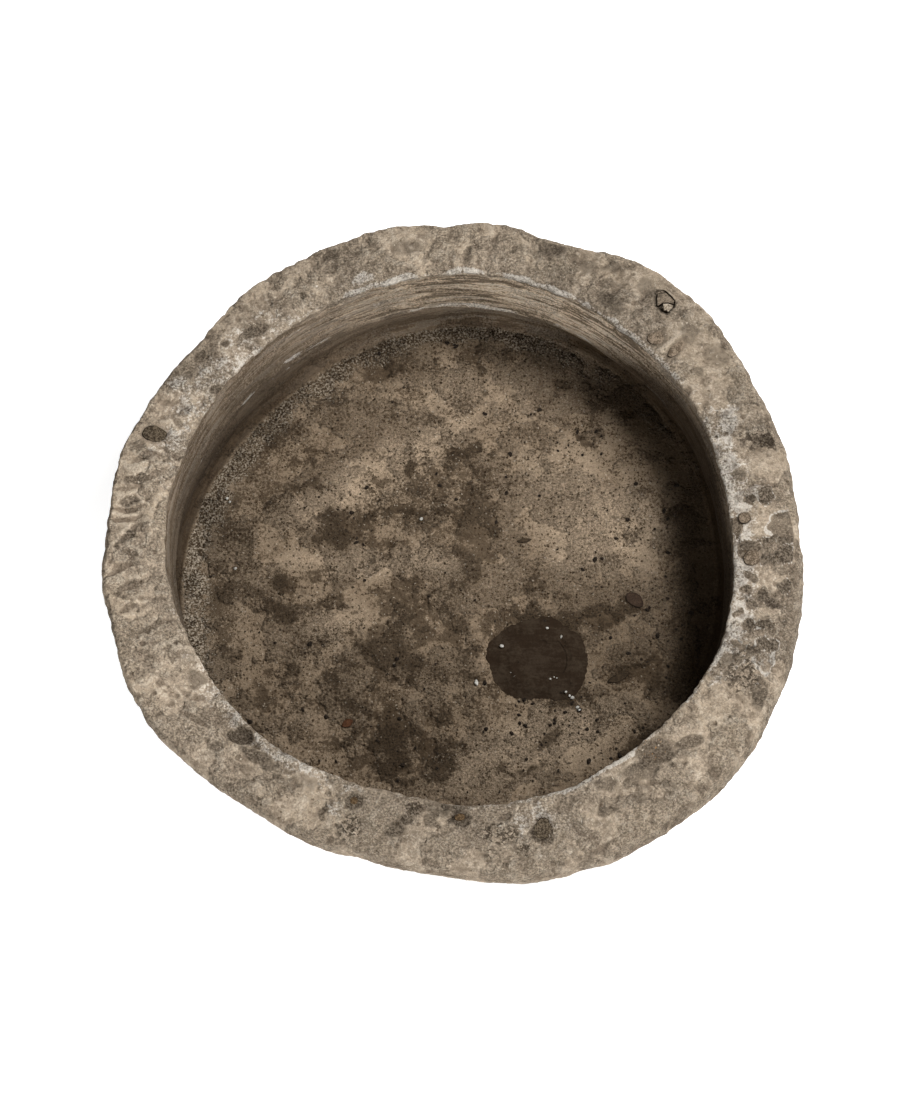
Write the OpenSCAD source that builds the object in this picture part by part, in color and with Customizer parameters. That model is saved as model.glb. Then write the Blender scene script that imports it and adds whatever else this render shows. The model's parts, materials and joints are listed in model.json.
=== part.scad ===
// Round trough planter, hewn from one block of stone, with a stopped drain hole.
// Millimetres. The underside stands on z = 0, and +Z is up.
// The photographed front of the trough faces -Y.

/* [Stone block] */
// Mean radius of the outside, at its widest
outer_r = 355; // [300:1:400]
// Height of the mean rim above the ground
body_h = 225; // [200:1:300]
// How far the side leans in from its widest part down to the ground
side_taper = 57; // [40:1:75]
// Radius of the worn edge round the underside
foot_round = 16; // [8:1:24]
// Mean height from the widest part up to the rim
belly_drop = 18; // [15:1:40]
// Mean width of the worn shoulder between the side and the rim
shoulder_w = 7; // [6:1:14]
// Depth of the chisel hollows on the outside
hewn_d = 3; // [0.5:0.5:5]

/* [Basin] */
// Depth of the floor below the mean rim
basin_d = 135; // [100:1:150]
// How far the foot of the wall stands out beyond the mouth
wall_flare = 3; // [0:1:8]
// How far the worn ledge in the wall stands in from the mouth
ledge_w = 6; // [2:1:12]
// Height of that ledge above the floor
ledge_h = 53; // [40:1:70]
// Radius of the corner between wall and floor
floor_round = 14; // [8:1:20]

/* [Rim] */
// Mean width of the rim, from the widest part of the outside to the mouth
rim_w = 68; // [60:1:90]
// How far the middle of the rim stands above its edges
rim_crown = 3; // [1:0.5:6]
// Radius of the worn lip round the mouth
lip_r = 4; // [2:0.5:6]
// Depth of the deepest hollow that the pick left in the rim's face
rim_hollow_d = 5; // [0:0.5:6]

/* [Drain] */
// Drain hole's place across the floor, to the right
drain_x = 85; // [60:1:110]
// Drain hole's place along the floor, towards the back
drain_y = -84; // [-110:1:-60]
// Radius of the drain hole
drain_r = 22; // [16:0.5:24]
// How far the stopper's head laps onto the floor round the hole
stopper_lap = 6; // [4:0.5:12]
// Height of the stopper's head above the floor
stopper_h = 4; // [3:0.5:8]
// Gap between the stopper's end and the ground
stopper_short = 6; // [3:1:20]
// Mean width of the mortar smeared round the stopper's head
mortar_w = 20; // [14:1:32]
// Height of the mortar against the stopper
mortar_h = 3; // [2:0.5:5]
// Height of the mortar at its feathered edge
mortar_edge_h = 1; // [0.5:0.1:1.5]

/* [Loose chip in the rim] */
// Direction of the chip from the middle of the block
chip_dir = 51; // [42:1:60]
// Distance of the chip's middle in from the outer edge
chip_in = 20; // [15:1:26]
// Depth of the chip's pocket
chip_pocket_d = 10; // [6:1:16]
// Open joint round the chip
chip_gap = 0.8; // [0.4:0.1:1.2]

/* [Pebbles in the rim] */
// Clearance between a pebble and its socket
socket_gap = 0.3; // [0.2:0.1:0.6]
// Depth of a pebble's socket
socket_d = 7; // [5:1:12]

/* [Hidden] */

columns = 144;
step = 360 / columns;

// An uneven outline is a circle with waves on it. These are the waves' counts round the circle,
// and each outline below has a size for each wave, and the direction of that wave's first crest
wave_counts = [1, 2, 3, 4, 5, 6, 7];
outer_wave_sizes = [0, 3, 7.5, 3.5, 1, 2, 0];
outer_wave_angles = [0, -18, -50, 34, -25, -14, 0];
mouth_wave_sizes = [0, 3, 4, 0, 0, 1, 1.5];
mouth_wave_angles = [0, -19, -46, 0, 0, -18, -23];
floor_wave_sizes = [0, 8, 4, 0, 0, 1, 0];
floor_wave_angles = [0, 42, -46, 0, 0, -18, 0];
rim_wave_sizes = [2, 0, 1.5, 0, 1, 0, 0];
rim_wave_angles = [200, 0, 60, 0, 20, 0, 0];
mortar_wave_sizes = [0, 4, 2.5, 0, 1.5, 0, 0];
mortar_wave_angles = [0, 8, 75, 0, 20, 0, 0];

// The shoulder is worn widest and deepest on one side, and this much less on the other
worn_angle = -35;
shoulder_swing = 5;
belly_swing = 11;

// The basin was cut a little towards the back and left of the block's middle
basin_shift = [-5.5, 9];

mouth_r = outer_r - rim_w;
floor_r = mouth_r + wall_flare;
base_r = outer_r - side_taper;
stopper_r = drain_r + stopper_lap;
mortar_r = stopper_r + mortar_w;
floor_z = body_h - basin_d;
ledge_z = floor_z + ledge_h;
// The wall under the ledge runs back to the floor's outline over this height
undercut_h = 12;
stopper_chamfer = 3;
rim_rows = 8;
side_rows = 5;
// The side leans in a little faster near the ground than near the widest part
side_bow = 0.85;
bore_gap = 0.3;
// Cuts run this far past a flat face that they open through, and this far above the uneven rim
through = 1;
cut_rise = 12;
// How far below its crown a pebble's rounded edge starts
pebble_round = 2;

// A hollow ends at this many times its own size, and all die out over this share of the rim's width
hollow_end = 1.5;
hollow_fade = 0.125;
// Hollows in the rim's face: direction, distance out from the mouth, half length, half width, turn, and
// depth as a share of the deepest. A depth below 0 is a boss that was left standing
rim_hollows = [
    [-135, 9, 19, 11, -30, 1], [-127, 23, 34, 12, -12, 0.8], [-141, 19, 26, 9, -10, 0.6],
    [-134, 27, 12, 8, -10, -0.5], [-124, 52, 24, 11, -20, -0.4], [-95, 8, 24, 9, -15, 0.8],
    [-112, 33, 11, 9, 0, -0.4], [-114, 23, 12, 9, 0, 0.5], [-100, 35, 15, 12, 0, 0.6],
    [-66, 43, 18, 11, 0, 0.4], [-73, 66, 24, 8, 0, -0.4], [-55, 37, 34, 12, 20, 0.5],
    [-49, 15, 21, 16, 20, 1], [-43, 33, 19, 9, 5, 0.7], [-29, 45, 15, 13, 0, 0.5],
    [-163, 50, 17, 10, 10, 0.5], [-170, 41, 22, 9, 5, 0.6], [177, 40, 22, 13, 0, 0.7],
    [-156, 12, 20, 14, -50, -0.4], [167, 26, 22, 9, 20, -0.4], [156, 39, 26, 9, 15, 0.6],
    [143, 42, 13, 16, 0, 0.8], [129, 41, 20, 12, 35, 0.5], [112, 46, 18, 10, 10, 0.6],
    [100, 20, 22, 10, 10, -0.4], [81, 33, 22, 10, 0, 0.5], [72, 46, 20, 10, 0, 0.6],
    [65, 47, 20, 10, -15, 0.7], [59, 33, 22, 9, 50, 0.8], [60, 60, 13, 8, -20, -0.4],
    [37, 39, 16, 11, -40, 0.5], [17, 42, 20, 12, 20, 0.5]
];

// Pebbles: direction, distance out from the mouth, half length, half width, turn, height above the rim
left_pebble_place = [160.7, 34, 13, 9.3, -10, 0.5];
right_pebble_place = [3.5, 13.5, 6.6, 6.3, 0, 3];
right_flat_pebble_place = [-4.6, 18, 9.5, 8.5, 30, 1];
back_oval_pebble_place = [45.6, 15.5, 10.5, 7.5, 10, 0.5];
back_long_pebble_place = [41.3, 22, 13, 5.5, 45, 0.5];
front_pebble_place = [-88.7, 15, 5.5, 4, 10, 1.5];
front_left_pebble_place = [-109.3, 19, 4.5, 4, 60, 0.5];
front_oval_pebble_place = [-74, 33.5, 12, 9, 75, 0.5];
pebble_places = [
    left_pebble_place, right_pebble_place, right_flat_pebble_place, back_oval_pebble_place,
    back_long_pebble_place, front_pebble_place, front_left_pebble_place, front_oval_pebble_place
];

// The broken chip, its smaller piece, and the pocket both lie in, from the chip's middle
pocket_outline = [
    [-9, 12], [-1, 13], [1.5, 11.5], [7, 6], [10.5, 0.5], [10, -4.5],
    [4, -13], [1, -14.5], [-4, -11.5], [-9.5, -5.5], [-9.5, 3]
];
chip_break = [[-9.5, -6.5], [-4.5, -3], [4, -2], [10.5, -3.5]];
sliver_outline = [[-1.5, -4], [3.5, -3], [8.7, -4.8], [9, -5.5], [3.6, -12.6], [0.5, -12.6]];

function total(v, i = 0) = i < len(v) ? v[i] + total(v, i + 1) : 0;
function waves(sizes, angles, a) =
    total([for (i = [0 : len(wave_counts) - 1]) sizes[i] * cos(wave_counts[i] * (a - angles[i]))]);
function unit(a) = [cos(a), sin(a)];
function mix(a, b, t) = a + (b - a) * t;
function clamp01(t) = min(1, max(0, t));
function ease(t) = let (c = clamp01(t)) c * c * (3 - 2 * c);

// Plan outlines, as points in direction a from the middle of the block or of the basin
function outer_wave(a) = waves(outer_wave_sizes, outer_wave_angles, a);
function mouth_wave(a) = waves(mouth_wave_sizes, mouth_wave_angles, a);
function floor_wave(a) = waves(floor_wave_sizes, floor_wave_angles, a);
function outer_point(a, inset) = (outer_r - inset + outer_wave(a)) * unit(a);
function base_point(a, inset) = (base_r - inset + outer_wave(a)) * unit(a);
function mouth_point(a, out) = basin_shift + (mouth_r + out + mouth_wave(a)) * unit(a);
function floor_point(a, inset) = basin_shift + (floor_r - inset + floor_wave(a)) * unit(a);
function shoulder_at(a) = shoulder_w + shoulder_swing * cos(a - worn_angle);
function belly_z(a) = body_h - belly_drop - belly_swing * cos(a - worn_angle);
function rim_edge_z(a) = body_h - rim_crown + waves(rim_wave_sizes, rim_wave_angles, a);
function rim_z(a, t) = rim_edge_z(a) + rim_crown * sin(180 * t);

// How far a hollow reaches at a point of the plan: 1 in its middle, 0 outside it
function reach(p, h) =
    let (d = p - mouth_point(h[0], h[1]), c = cos(h[4]), s = sin(h[4]))
    ease(hollow_end - norm([(d[0] * c + d[1] * s) / h[2], (d[1] * c - d[0] * s) / h[3]]));

// How far the hollows sink the rim's face there. They die out at both of the rim's edges
function sunk(p, t) =
    rim_hollow_d * ease(min(t, 1 - t) / hollow_fade) * total([for (h = rim_hollows) h[5] * reach(p, h)]);

// Chisel hollows run up and down the side, and die out at the ground and at the belly
function hollow(a, t) = hewn_d * sin(180 * t) * (0.5 + 0.5 * sin(17 * a + 60 * t) * cos(5 * a - 40));

function at_z(p, z) = [p[0], p[1], z];

// One column of the stone's skin, from the underside, up the side, over the rim and down to the floor
function column(a) = concat(
    [for (s = [0, 30, 60])
        at_z(base_point(a, foot_round * (1 - sin(s))), foot_round * (1 - cos(s)))],
    [for (i = [0 : side_rows])
        let (t = i / (side_rows + 1), bow = pow(t, side_bow))
        at_z(mix(base_point(a, hollow(a, t)), outer_point(a, hollow(a, t)), bow),
            mix(foot_round, belly_z(a), t))],
    [for (s = [0, 25, 50, 75])
        at_z(outer_point(a, shoulder_at(a) * (1 - cos(s))),
            mix(belly_z(a), rim_edge_z(a), sin(s)))],
    [for (i = [0 : rim_rows])
        let (t = i / rim_rows, p = mix(outer_point(a, shoulder_at(a)), mouth_point(a, lip_r), t))
        at_z(p, rim_z(a, t) - sunk(p, t))],
    [at_z(mouth_point(a, lip_r * 0.3), rim_edge_z(a) - lip_r * 0.3),
        at_z(mouth_point(a, 0), rim_edge_z(a) - lip_r),
        at_z(mouth_point(a, -ledge_w * 0.35), mix(body_h, ledge_z, 0.5)),
        at_z(mouth_point(a, -ledge_w), ledge_z),
        at_z(mix(mouth_point(a, -ledge_w), floor_point(a, 0), 0.7), ledge_z - undercut_h)],
    [for (s = [0, 45, 90])
        at_z(floor_point(a, floor_round * (1 - cos(s))), floor_z + floor_round * (1 - sin(s)))]
);

skin = [for (i = [0 : columns - 1]) column(i * step)];
skin_points = [for (c = skin) each c];
xs = [for (p = skin_points) p[0]];
ys = [for (p = skin_points) p[1]];
// The block's own box is centred on the origin
centring = [-(min(xs) + max(xs)) / 2, -(min(ys) + max(ys)) / 2, 0];

// Height of the rim's face, this far out from the mouth
function face_z(a, out) =
    let (width = norm(outer_point(a, shoulder_at(a)) - mouth_point(a, lip_r)),
        t = clamp01(1 - (out - lip_r) / width))
    rim_z(a, t) - sunk(mouth_point(a, out), t);

// A closed skin: columns of points joined by triangles, with a flat face at each end
module closed_skin(columns_of_points) {
    n = len(columns_of_points);
    m = len(columns_of_points[0]);
    polyhedron(
        points = [for (c = columns_of_points) each c],
        faces = concat(
            [for (i = [0 : n - 1], j = [0 : m - 2])
                let (k = (i + 1) % n)
                each [[i * m + j, i * m + j + 1, k * m + j + 1], [i * m + j, k * m + j + 1, k * m + j]]],
            [[for (i = [0 : n - 1]) i * m]],
            [[for (i = [n - 1 : -1 : 0]) i * m + m - 1]]
        ),
        convexity = 10
    );
}

// Oval outline of a pebble or of its socket, grown by a clearance
function oval(half_l, half_w, turn, grow) =
    [for (i = [0 : 23])
        let (a = i * 15, x = (half_l + grow) * cos(a), y = (half_w + grow) * sin(a))
        [x * cos(turn) - y * sin(turn), x * sin(turn) + y * cos(turn)]];

module at_rim(a, out) {
    p = mouth_point(a, out);
    translate([p[0], p[1], face_z(a, out)]) children();
}

module pebble_socket(place) {
    at_rim(place[0], place[1])
        translate([0, 0, -socket_d])
            linear_extrude(height = socket_d + cut_rise)
                polygon(oval(place[2], place[3], place[4], socket_gap));
}

// A pebble: straight sides down in its socket, and a low crown above the rim
module pebble(place) {
    crown_z = place[5];
    edge = concat([[1, -socket_d]],
        [for (s = [0, 30, 60, 80]) [cos(s), crown_z - pebble_round * (1 - sin(s))]]);
    outline = oval(place[2], place[3], place[4], 0);
    translate(centring)
        at_rim(place[0], place[1])
            closed_skin([for (p = outline) [for (e = edge) at_z(p * e[0], e[1])]]);
}

module at_chip() {
    p = outer_point(chip_dir, chip_in);
    z = face_z(chip_dir, norm(p - mouth_point(chip_dir, 0)));
    translate([p[0], p[1], z - chip_pocket_d]) children();
}

module chip_pocket() {
    at_chip()
        linear_extrude(height = chip_pocket_d + cut_rise)
            polygon(pocket_outline);
}

// Drain hole's axis
module at_drain(z) {
    translate([drain_x, drain_y, z]) children();
}

module drain_hole() {
    at_drain(-through)
        cylinder(h = floor_z + 2 * through, r = drain_r + bore_gap, $fn = 64);
}

module stone_body() {
    color("#9c8d7c")
        translate(centring)
            difference() {
                closed_skin(skin);
                drain_hole();
                chip_pocket();
                for (place = pebble_places)
                    pebble_socket(place);
            }
}

// Turned stopper: a low domed head on the floor, and a shank down the drain hole
module drain_stopper() {
    round_h = stopper_h * 0.35;
    color("#3d3127")
        translate(centring)
            at_drain(0)
                rotate_extrude($fn = 96)
                    polygon([
                        [0, stopper_short], [drain_r - stopper_chamfer, stopper_short],
                        [drain_r, stopper_short + stopper_chamfer],
                        [drain_r, floor_z], [stopper_r, floor_z], [stopper_r, floor_z + stopper_h - round_h],
                        [stopper_r - round_h * 2, floor_z + stopper_h], [0, floor_z + stopper_h]
                    ]);
}

// Mortar smeared on the floor round the stopper's head, thinning to a feathered edge
module stopper_mortar() {
    mortar_columns = 48;
    function smear(a, t) =
        mix(drain_r, mortar_r + waves(mortar_wave_sizes, mortar_wave_angles, a), t) * unit(a);
    color("#463a2e")
        translate(centring)
            at_drain(floor_z)
                difference() {
                    closed_skin([for (i = [0 : mortar_columns - 1])
                        let (a = i * 360 / mortar_columns)
                        [at_z(smear(a, 1), 0), at_z(smear(a, 0.98), mortar_edge_h),
                            at_z(smear(a, 0.6), mix(mortar_edge_h, mortar_h, 0.75)),
                            at_z(smear(a, 0), mortar_h)]]);
                    translate([0, 0, -through])
                        cylinder(h = mortar_h + 2 * through, r = stopper_r + bore_gap, $fn = 96);
                }
}

// The larger piece of the chip: the pocket's outline less the joint, down to the break
module rim_chip() {
    break_line = concat(chip_break, [[20, 0], [20, 20], [-20, 20], [-20, -6]]);
    color("#7d7062")
        translate(centring)
            at_chip()
                linear_extrude(height = chip_pocket_d)
                    intersection() {
                        offset(delta = -chip_gap) polygon(pocket_outline);
                        polygon(break_line);
                    }
}

// The smaller, paler piece, which stands a little proud
module rim_chip_sliver() {
    proud = 0.8;
    color("#b3a797")
        translate(centring)
            at_chip()
                linear_extrude(height = chip_pocket_d + proud)
                    intersection() {
                        offset(delta = -chip_gap) polygon(pocket_outline);
                        translate([0, -chip_gap]) polygon(sliver_outline);
                    }
}

module left_pebble() { color("#5e5447") pebble(left_pebble_place); }
module right_pebble() { color("#76695a") pebble(right_pebble_place); }
module right_flat_pebble() { color("#75685a") pebble(right_flat_pebble_place); }
module back_oval_pebble() { color("#6f6355") pebble(back_oval_pebble_place); }
module back_long_pebble() { color("#75695b") pebble(back_long_pebble_place); }
module front_pebble() { color("#7d6142") pebble(front_pebble_place); }
module front_left_pebble() { color("#80664a") pebble(front_left_pebble_place); }
module front_oval_pebble() { color("#5a5149") pebble(front_oval_pebble_place); }

stone_body();
drain_stopper();
stopper_mortar();
rim_chip();
rim_chip_sliver();
left_pebble();
right_pebble();
right_flat_pebble();
back_oval_pebble();
back_long_pebble();
front_pebble();
front_left_pebble();
front_oval_pebble();
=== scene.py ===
"""Round stone trough planter: the finish of its stone, stopper, mortar, chip and pebbles, and the stage."""

import json
import math

import bpy
import numpy as np
from bpy.props import FloatProperty, FloatVectorProperty, IntProperty, PointerProperty
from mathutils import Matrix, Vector


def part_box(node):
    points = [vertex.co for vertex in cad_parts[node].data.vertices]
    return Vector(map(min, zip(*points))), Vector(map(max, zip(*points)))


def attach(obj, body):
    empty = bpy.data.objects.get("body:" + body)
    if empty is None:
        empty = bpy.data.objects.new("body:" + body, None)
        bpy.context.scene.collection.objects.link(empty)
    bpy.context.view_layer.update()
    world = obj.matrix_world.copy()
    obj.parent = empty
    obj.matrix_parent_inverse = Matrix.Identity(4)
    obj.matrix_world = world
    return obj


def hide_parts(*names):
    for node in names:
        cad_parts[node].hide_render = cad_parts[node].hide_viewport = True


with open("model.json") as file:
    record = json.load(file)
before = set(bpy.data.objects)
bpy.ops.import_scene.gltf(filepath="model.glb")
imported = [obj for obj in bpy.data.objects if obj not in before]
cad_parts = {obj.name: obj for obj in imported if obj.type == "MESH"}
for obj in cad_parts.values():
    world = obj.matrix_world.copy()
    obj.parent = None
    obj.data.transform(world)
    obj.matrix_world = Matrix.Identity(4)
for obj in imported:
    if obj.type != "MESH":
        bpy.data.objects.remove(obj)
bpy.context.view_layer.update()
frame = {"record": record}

bl_info = {
    "name": "Stone trough planter",
    "version": (1, 0, 0),
    "blender": (4, 5, 0),
    "location": "3D View > Sidebar > Trough",
    "description": "Builds the finished surfaces of a round trough hewn from one block of stone",
    "category": "Add Mesh",
}

MM = 0.001

# Uneven outlines: a circle with waves on it, counted round the circle.
# Each outline has a size in millimetres for each wave, and the direction of its first crest in degrees.
WAVE_COUNTS = (1, 2, 3, 4, 5, 6, 7)
OUTER_WAVES = ((0, 3, 7.5, 3.5, 1, 2, 0), (0, -18, -50, 34, -25, -14, 0))
MOUTH_WAVES = ((0, 3, 4, 0, 0, 1, 1.5), (0, -19, -46, 0, 0, -18, -23))
FLOOR_WAVES = ((0, 8, 4, 0, 0, 1, 0), (0, 42, -46, 0, 0, -18, 0))
RIM_WAVES = ((2, 0, 1.5, 0, 1, 0, 0), (200, 0, 60, 0, 20, 0, 0))
MORTAR_WAVES = ((0, 4, 2.5, 0, 1.5, 0, 0), (0, 8, 75, 0, 20, 0, 0))

# Swellings and bites of the outer edge: direction, half width in degrees, size in millimetres.
EDGE_BUMPS = (
    (18, 5, 2), (50, 8, 4.5), (71, 5, -4), (82, 5, 3.5), (90, 3, -2), (105, 6, 2), (129, 6, 3.5),
    (140, 5, -2), (178, 4, -2), (187, 3, 2), (204, 3, 2.5), (213, 5, 2), (228, 8, -3.5), (246, 5, 3),
    (270, 7, -2.5), (298, 9, -3.5), (343, 5, -1.5), (123, 12, -3), (148, 9, -2.5), (186, 13, -3.5),
    (242, 12, -2), (36, 8, -2), (6, 8, 2.5),
)

# Pebbles: node, direction from the basin's centre, then in millimetres the distance out from the mouth,
# half length and half width, then the turn in degrees and the height of the crown above the rim.
PEBBLES = (
    ("left_pebble", 160.7, 34, 13, 9.3, -10, 0.5),
    ("right_pebble", 3.5, 13.5, 6.6, 6.3, 0, 3),
    ("right_flat_pebble", -4.6, 18, 9.5, 8.5, 30, 1),
    ("back_oval_pebble", 45.6, 15.5, 10.5, 7.5, 10, 0.5),
    ("back_long_pebble", 41.3, 22, 13, 5.5, 45, 0.5),
    ("front_pebble", -88.7, 15, 5.5, 4, 10, 1.5),
    ("front_left_pebble", -109.3, 19, 4.5, 4, 60, 0.5),
    ("front_oval_pebble", -74, 33.5, 12, 9, 75, 0.5),
)

# Outline of the chip's pocket, of the chip, of its paler splinter and of a step left in the pocket, in
# millimetres from the chip's middle.
POCKET = (
    (-9, 12), (-1, 13), (1.5, 11.5), (7, 6), (10.5, 0.5), (10, -4.5), (4, -13), (1, -14.5), (-4, -11.5),
    (-9.5, -5.5), (-9.5, 3),
)
CHIP = (
    (-7.6, 8.8), (-1.6, 9.6), (0.9, 9.8), (5.9, 5.1), (9.3, 0.3), (9, -3), (4, -1.6), (-2.5, -1.2),
    (-8.2, -5.2), (-8.4, 2.6),
)
SPLINTER = (
    (-2.4, -2.9), (3.5, -3.1), (8.2, -4.6), (8.1, -6.1), (3.3, -12), (0.9, -9.6), (-1.2, -10.4), (-1.6, -6.4),
)
STEP = ((-8.8, 11.4), (-1.4, 12.3), (0.8, 10.9), (-2.4, 10.3), (-8, 9.4), (-8.9, 7.5))

# Darker stones and marks in the rim's face: direction from the basin's centre, then in millimetres the
# distance out from the mouth, half length and half width, then the turn in degrees and the strength.
RIM_MARKS = (
    (-2.9, 15, 9, 9, 0, 1), (-1.2, 31, 7, 3, 5, 0.9), (-4.6, 35, 7, 5, 0, 0.8), (-3.6, 50, 8, 7, 0, 0.9),
    (-8.6, 17, 7, 3.5, -40, 0.95), (-11.2, 12, 5, 3, 0, 0.9), (-9.2, 52, 7, 6, 0, 0.95),
    (-12.8, 42, 9, 5, -20, 1), (-11.6, 30, 5, 5, 0, 0.95), (-13.9, 20, 5, 5, 0, 0.95),
    (-16, 8, 4, 3, 0, 0.8), (-17.8, 22, 5, 5, 0, 0.95), (-17, 38, 8, 4, 0, 0.95), (-15.3, 59, 5, 3, 0, 0.9),
    (-20.3, 45, 10, 6, 0, 0.85), (-22.2, 31, 7, 4, 0, 0.7), (-22, 14, 5, 3, 0, 0.5),
    (-25.5, 16, 12, 7, 0, 0.5), (17.7, 53, 9, 7, 0, 0.9), (17.3, 39, 7, 5, 0, 0.4), (7.4, 38, 6, 9, 0, 0.8),
    (7, 22, 5, 4, 0, 0.7), (12.4, 17, 6, 5, 0, 0.5), (1.3, 52, 14, 15, 0, 0.62), (-48.9, 16, 18, 14, 10, 1),
    (-42.9, 31, 15, 7, 12, 0.7), (-48, 37, 4, 3, 0, 0.8), (-60, 16, 12, 8, 0, 0.55),
    (-55.8, 27, 9, 7, 0, 0.65), (-51, 48, 6, 5, 0, 0.5), (-56.5, 46, 9, 6, 0, 0.4),
    (-62.5, 40, 9, 6, 0, 0.6), (-29.3, 60, 9, 13, 0, 0.6), (-23.3, 47, 10, 12, 0, 0.4),
    (-80, 15, 8, 5, 0, 0.7), (-74.2, 37, 11, 13, 0, 0.85), (-91.6, 5, 20, 8, 0, 0.5),
    (-93.9, 25, 8, 4, -30, 0.8), (-100.5, 38, 12, 6, 30, 0.6), (-98.5, 23, 6, 4, 0, 0.6),
    (-109.3, 18, 9, 9, 0, 0.85), (-88.7, 17, 12, 7, 10, 1), (-113.8, 40, 4, 6, 0, 0.7),
    (-114.4, 20, 4, 3, 0, 0.7), (-134.9, 14, 13, 9, 0, 1), (-129.2, 20, 22, 8, -25, 0.6),
    (-136.7, 39, 8, 6, 0, 0.5), (-142.2, 26, 8, 6, 0, 0.4), (164, 3, 4, 3, 0, 0.9),
    (71.9, 45, 16, 9, 0, 0.45), (60.5, 52, 13, 7, -10, 0.4), (53.4, 50, 12, 9, -40, 0.45),
    (57.3, 18, 9, 17, 45, 0.5), (87.1, 20, 5, 9, 0, 0.6), (34.7, 23, 7, 7, 0, 0.5),
    (112, 50, 10, 6, 20, 0.6), (132.4, 18, 13, 9, 30, 0.75), (138.4, 28, 6, 5, 0, 0.6),
    (120.7, 20, 4, 4, 0, 0.8), (143, 43, 7, 7, 0, 0.6), (-118.8, 17, 10, 12, 0, 0.35),
    (-148.8, 13, 9, 11, 0, 0.5), (98.8, 33, 14, 9, 0, 0.4), (1.7, 4, 5, 9, 0, 1),
    (64.6, 41, 10, 12, 0, 0.5), (35.5, 51, 12, 14, 0, 0.45), (42, 42, 10, 12, 0, 0.45),
    (-94.2, 18, 8, 7, 0, 0.6), (157, 17, 6, 6, 0, 0.5), (-53, 24, 22, 9, 8, 0.6), (147, 4, 6, 5, 0, 0.7),
    (147.5, 35, 5, 5, 0, 0.5), (170, 38, 14, 5, 5, 0.7), (174, 38, 13, 5, 5, 0.7), (182, 46, 9, 4, 20, 0.6),
    (180, 34, 5, 6, 0, 0.8),
)

# The stones in the rim's right stand this share wider than the table says.
MARK_GROWTH = 0.24

# The main hollows of the rim's face, the same as the solid's: direction, distance out, half length,
# half width, turn, and depth as a share of the deepest. A depth below 0 is a boss left standing.
RIM_HOLLOWS = (
    (-135, 9, 19, 11, -30, 1), (-127, 23, 34, 12, -12, 0.8), (-141, 19, 26, 9, -10, 0.6),
    (-134, 27, 12, 8, -10, -0.5), (-124, 52, 24, 11, -20, -0.4), (-95, 8, 24, 9, -15, 0.8),
    (-112, 33, 11, 9, 0, -0.4), (-114, 23, 12, 9, 0, 0.5), (-100, 35, 15, 12, 0, 0.6),
    (-66, 43, 18, 11, 0, 0.4), (-73, 66, 24, 8, 0, -0.4), (-55, 37, 34, 12, 20, 0.5),
    (-49, 15, 21, 16, 20, 1), (-43, 33, 19, 9, 5, 0.7), (-29, 45, 15, 13, 0, 0.5),
    (-163, 50, 17, 10, 10, 0.5), (-170, 41, 22, 9, 5, 0.6), (177, 40, 22, 13, 0, 0.7),
    (-156, 12, 20, 14, -50, -0.4), (167, 26, 22, 9, 20, -0.4), (156, 39, 26, 9, 15, 0.6),
    (143, 42, 13, 16, 0, 0.8), (129, 41, 20, 12, 35, 0.5), (112, 46, 18, 10, 10, 0.6),
    (100, 20, 22, 10, 10, -0.4), (81, 33, 22, 10, 0, 0.5), (72, 46, 20, 10, 0, 0.6),
    (65, 47, 20, 10, -15, 0.7), (59, 33, 22, 9, 50, 0.8), (60, 60, 13, 8, -20, -0.4),
    (37, 39, 16, 11, -40, 0.5), (17, 42, 20, 12, 20, 0.5),
)
# A hollow ends at this many times its own size, and all die out over this share of the rim's width.
HOLLOW_END = 1.5
HOLLOW_FADE = 0.125

# Thin furrows of the pick in the rim's left, written as the marks are.
RIM_FURROWS = (
    (175.2, 41, 17, 3.2, 3, 1), (177.1, 41, 16, 3.2, 4, 1), (171.5, 44, 14, 3.5, 10, 0.6),
    (-179.3, 36, 6, 4, 20, 0.8), (-176, 33, 7, 5, 0, 0.7), (-173.2, 47, 11, 4, 12, 0.8),
    (-170, 38, 15, 4, 20, 0.6), (-166, 44, 14, 4, 25, 0.6), (-162, 30, 16, 4, 20, 0.5),
    (165.5, 40, 15, 4, 20, 0.5), (168.5, 20, 12, 3.5, 25, 0.5), (-150, 40, 18, 5, -40, 0.6),
    (-146, 22, 16, 4, -35, 0.7), (-142.5, 36, 14, 4, -30, 0.6), (151, 30, 14, 4, 40, 0.5),
)

# Lime on the rim's face: place from the basin's centre, half length, half width, turn and strength.
LIME_SPOTS = (
    (82, -304, 26, 20, 0, 0.55), (-117, -288, 8, 8, 0, 0.8), (-92, 281, 14, 8, 15, 0.8),
    (284, 124, 12, 16, 0, 0.9), (308, 47, 10, 10, 0, 0.8), (-284, 166, 12, 10, 0, 0.7),
)

# Nicks in the lip and worm-eaten places of the rim, written as the marks are.
RIM_NICKS = (
    (-0.8, 1, 5, 7, 0, 1), (3.2, -1, 3, 4, 0, 0.7), (33, 1, 4, 5, 0, 0.6), (-21, 0, 3, 4, 0, 0.6),
    (-92, 1, 12, 5, 0, 0.7), (-126, 0, 5, 4, 0, 0.5), (166, 0, 4, 3, 0, 0.6), (63, 1, 6, 4, 0, 0.5),
)
RIM_WORMS = (
    (-108.3, 46, 12, 12, 0, 1), (-97.8, 12, 11, 8, 0, 0.9), (-82, 33, 22, 10, 0, 0.7),
    (-74, 33, 10, 11, 0, 0.8), (-78, 52, 9, 7, 0, 0.6), (18, 48, 22, 13, 0, 0.5), (-27, 30, 22, 26, 0, 0.5),
)

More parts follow.
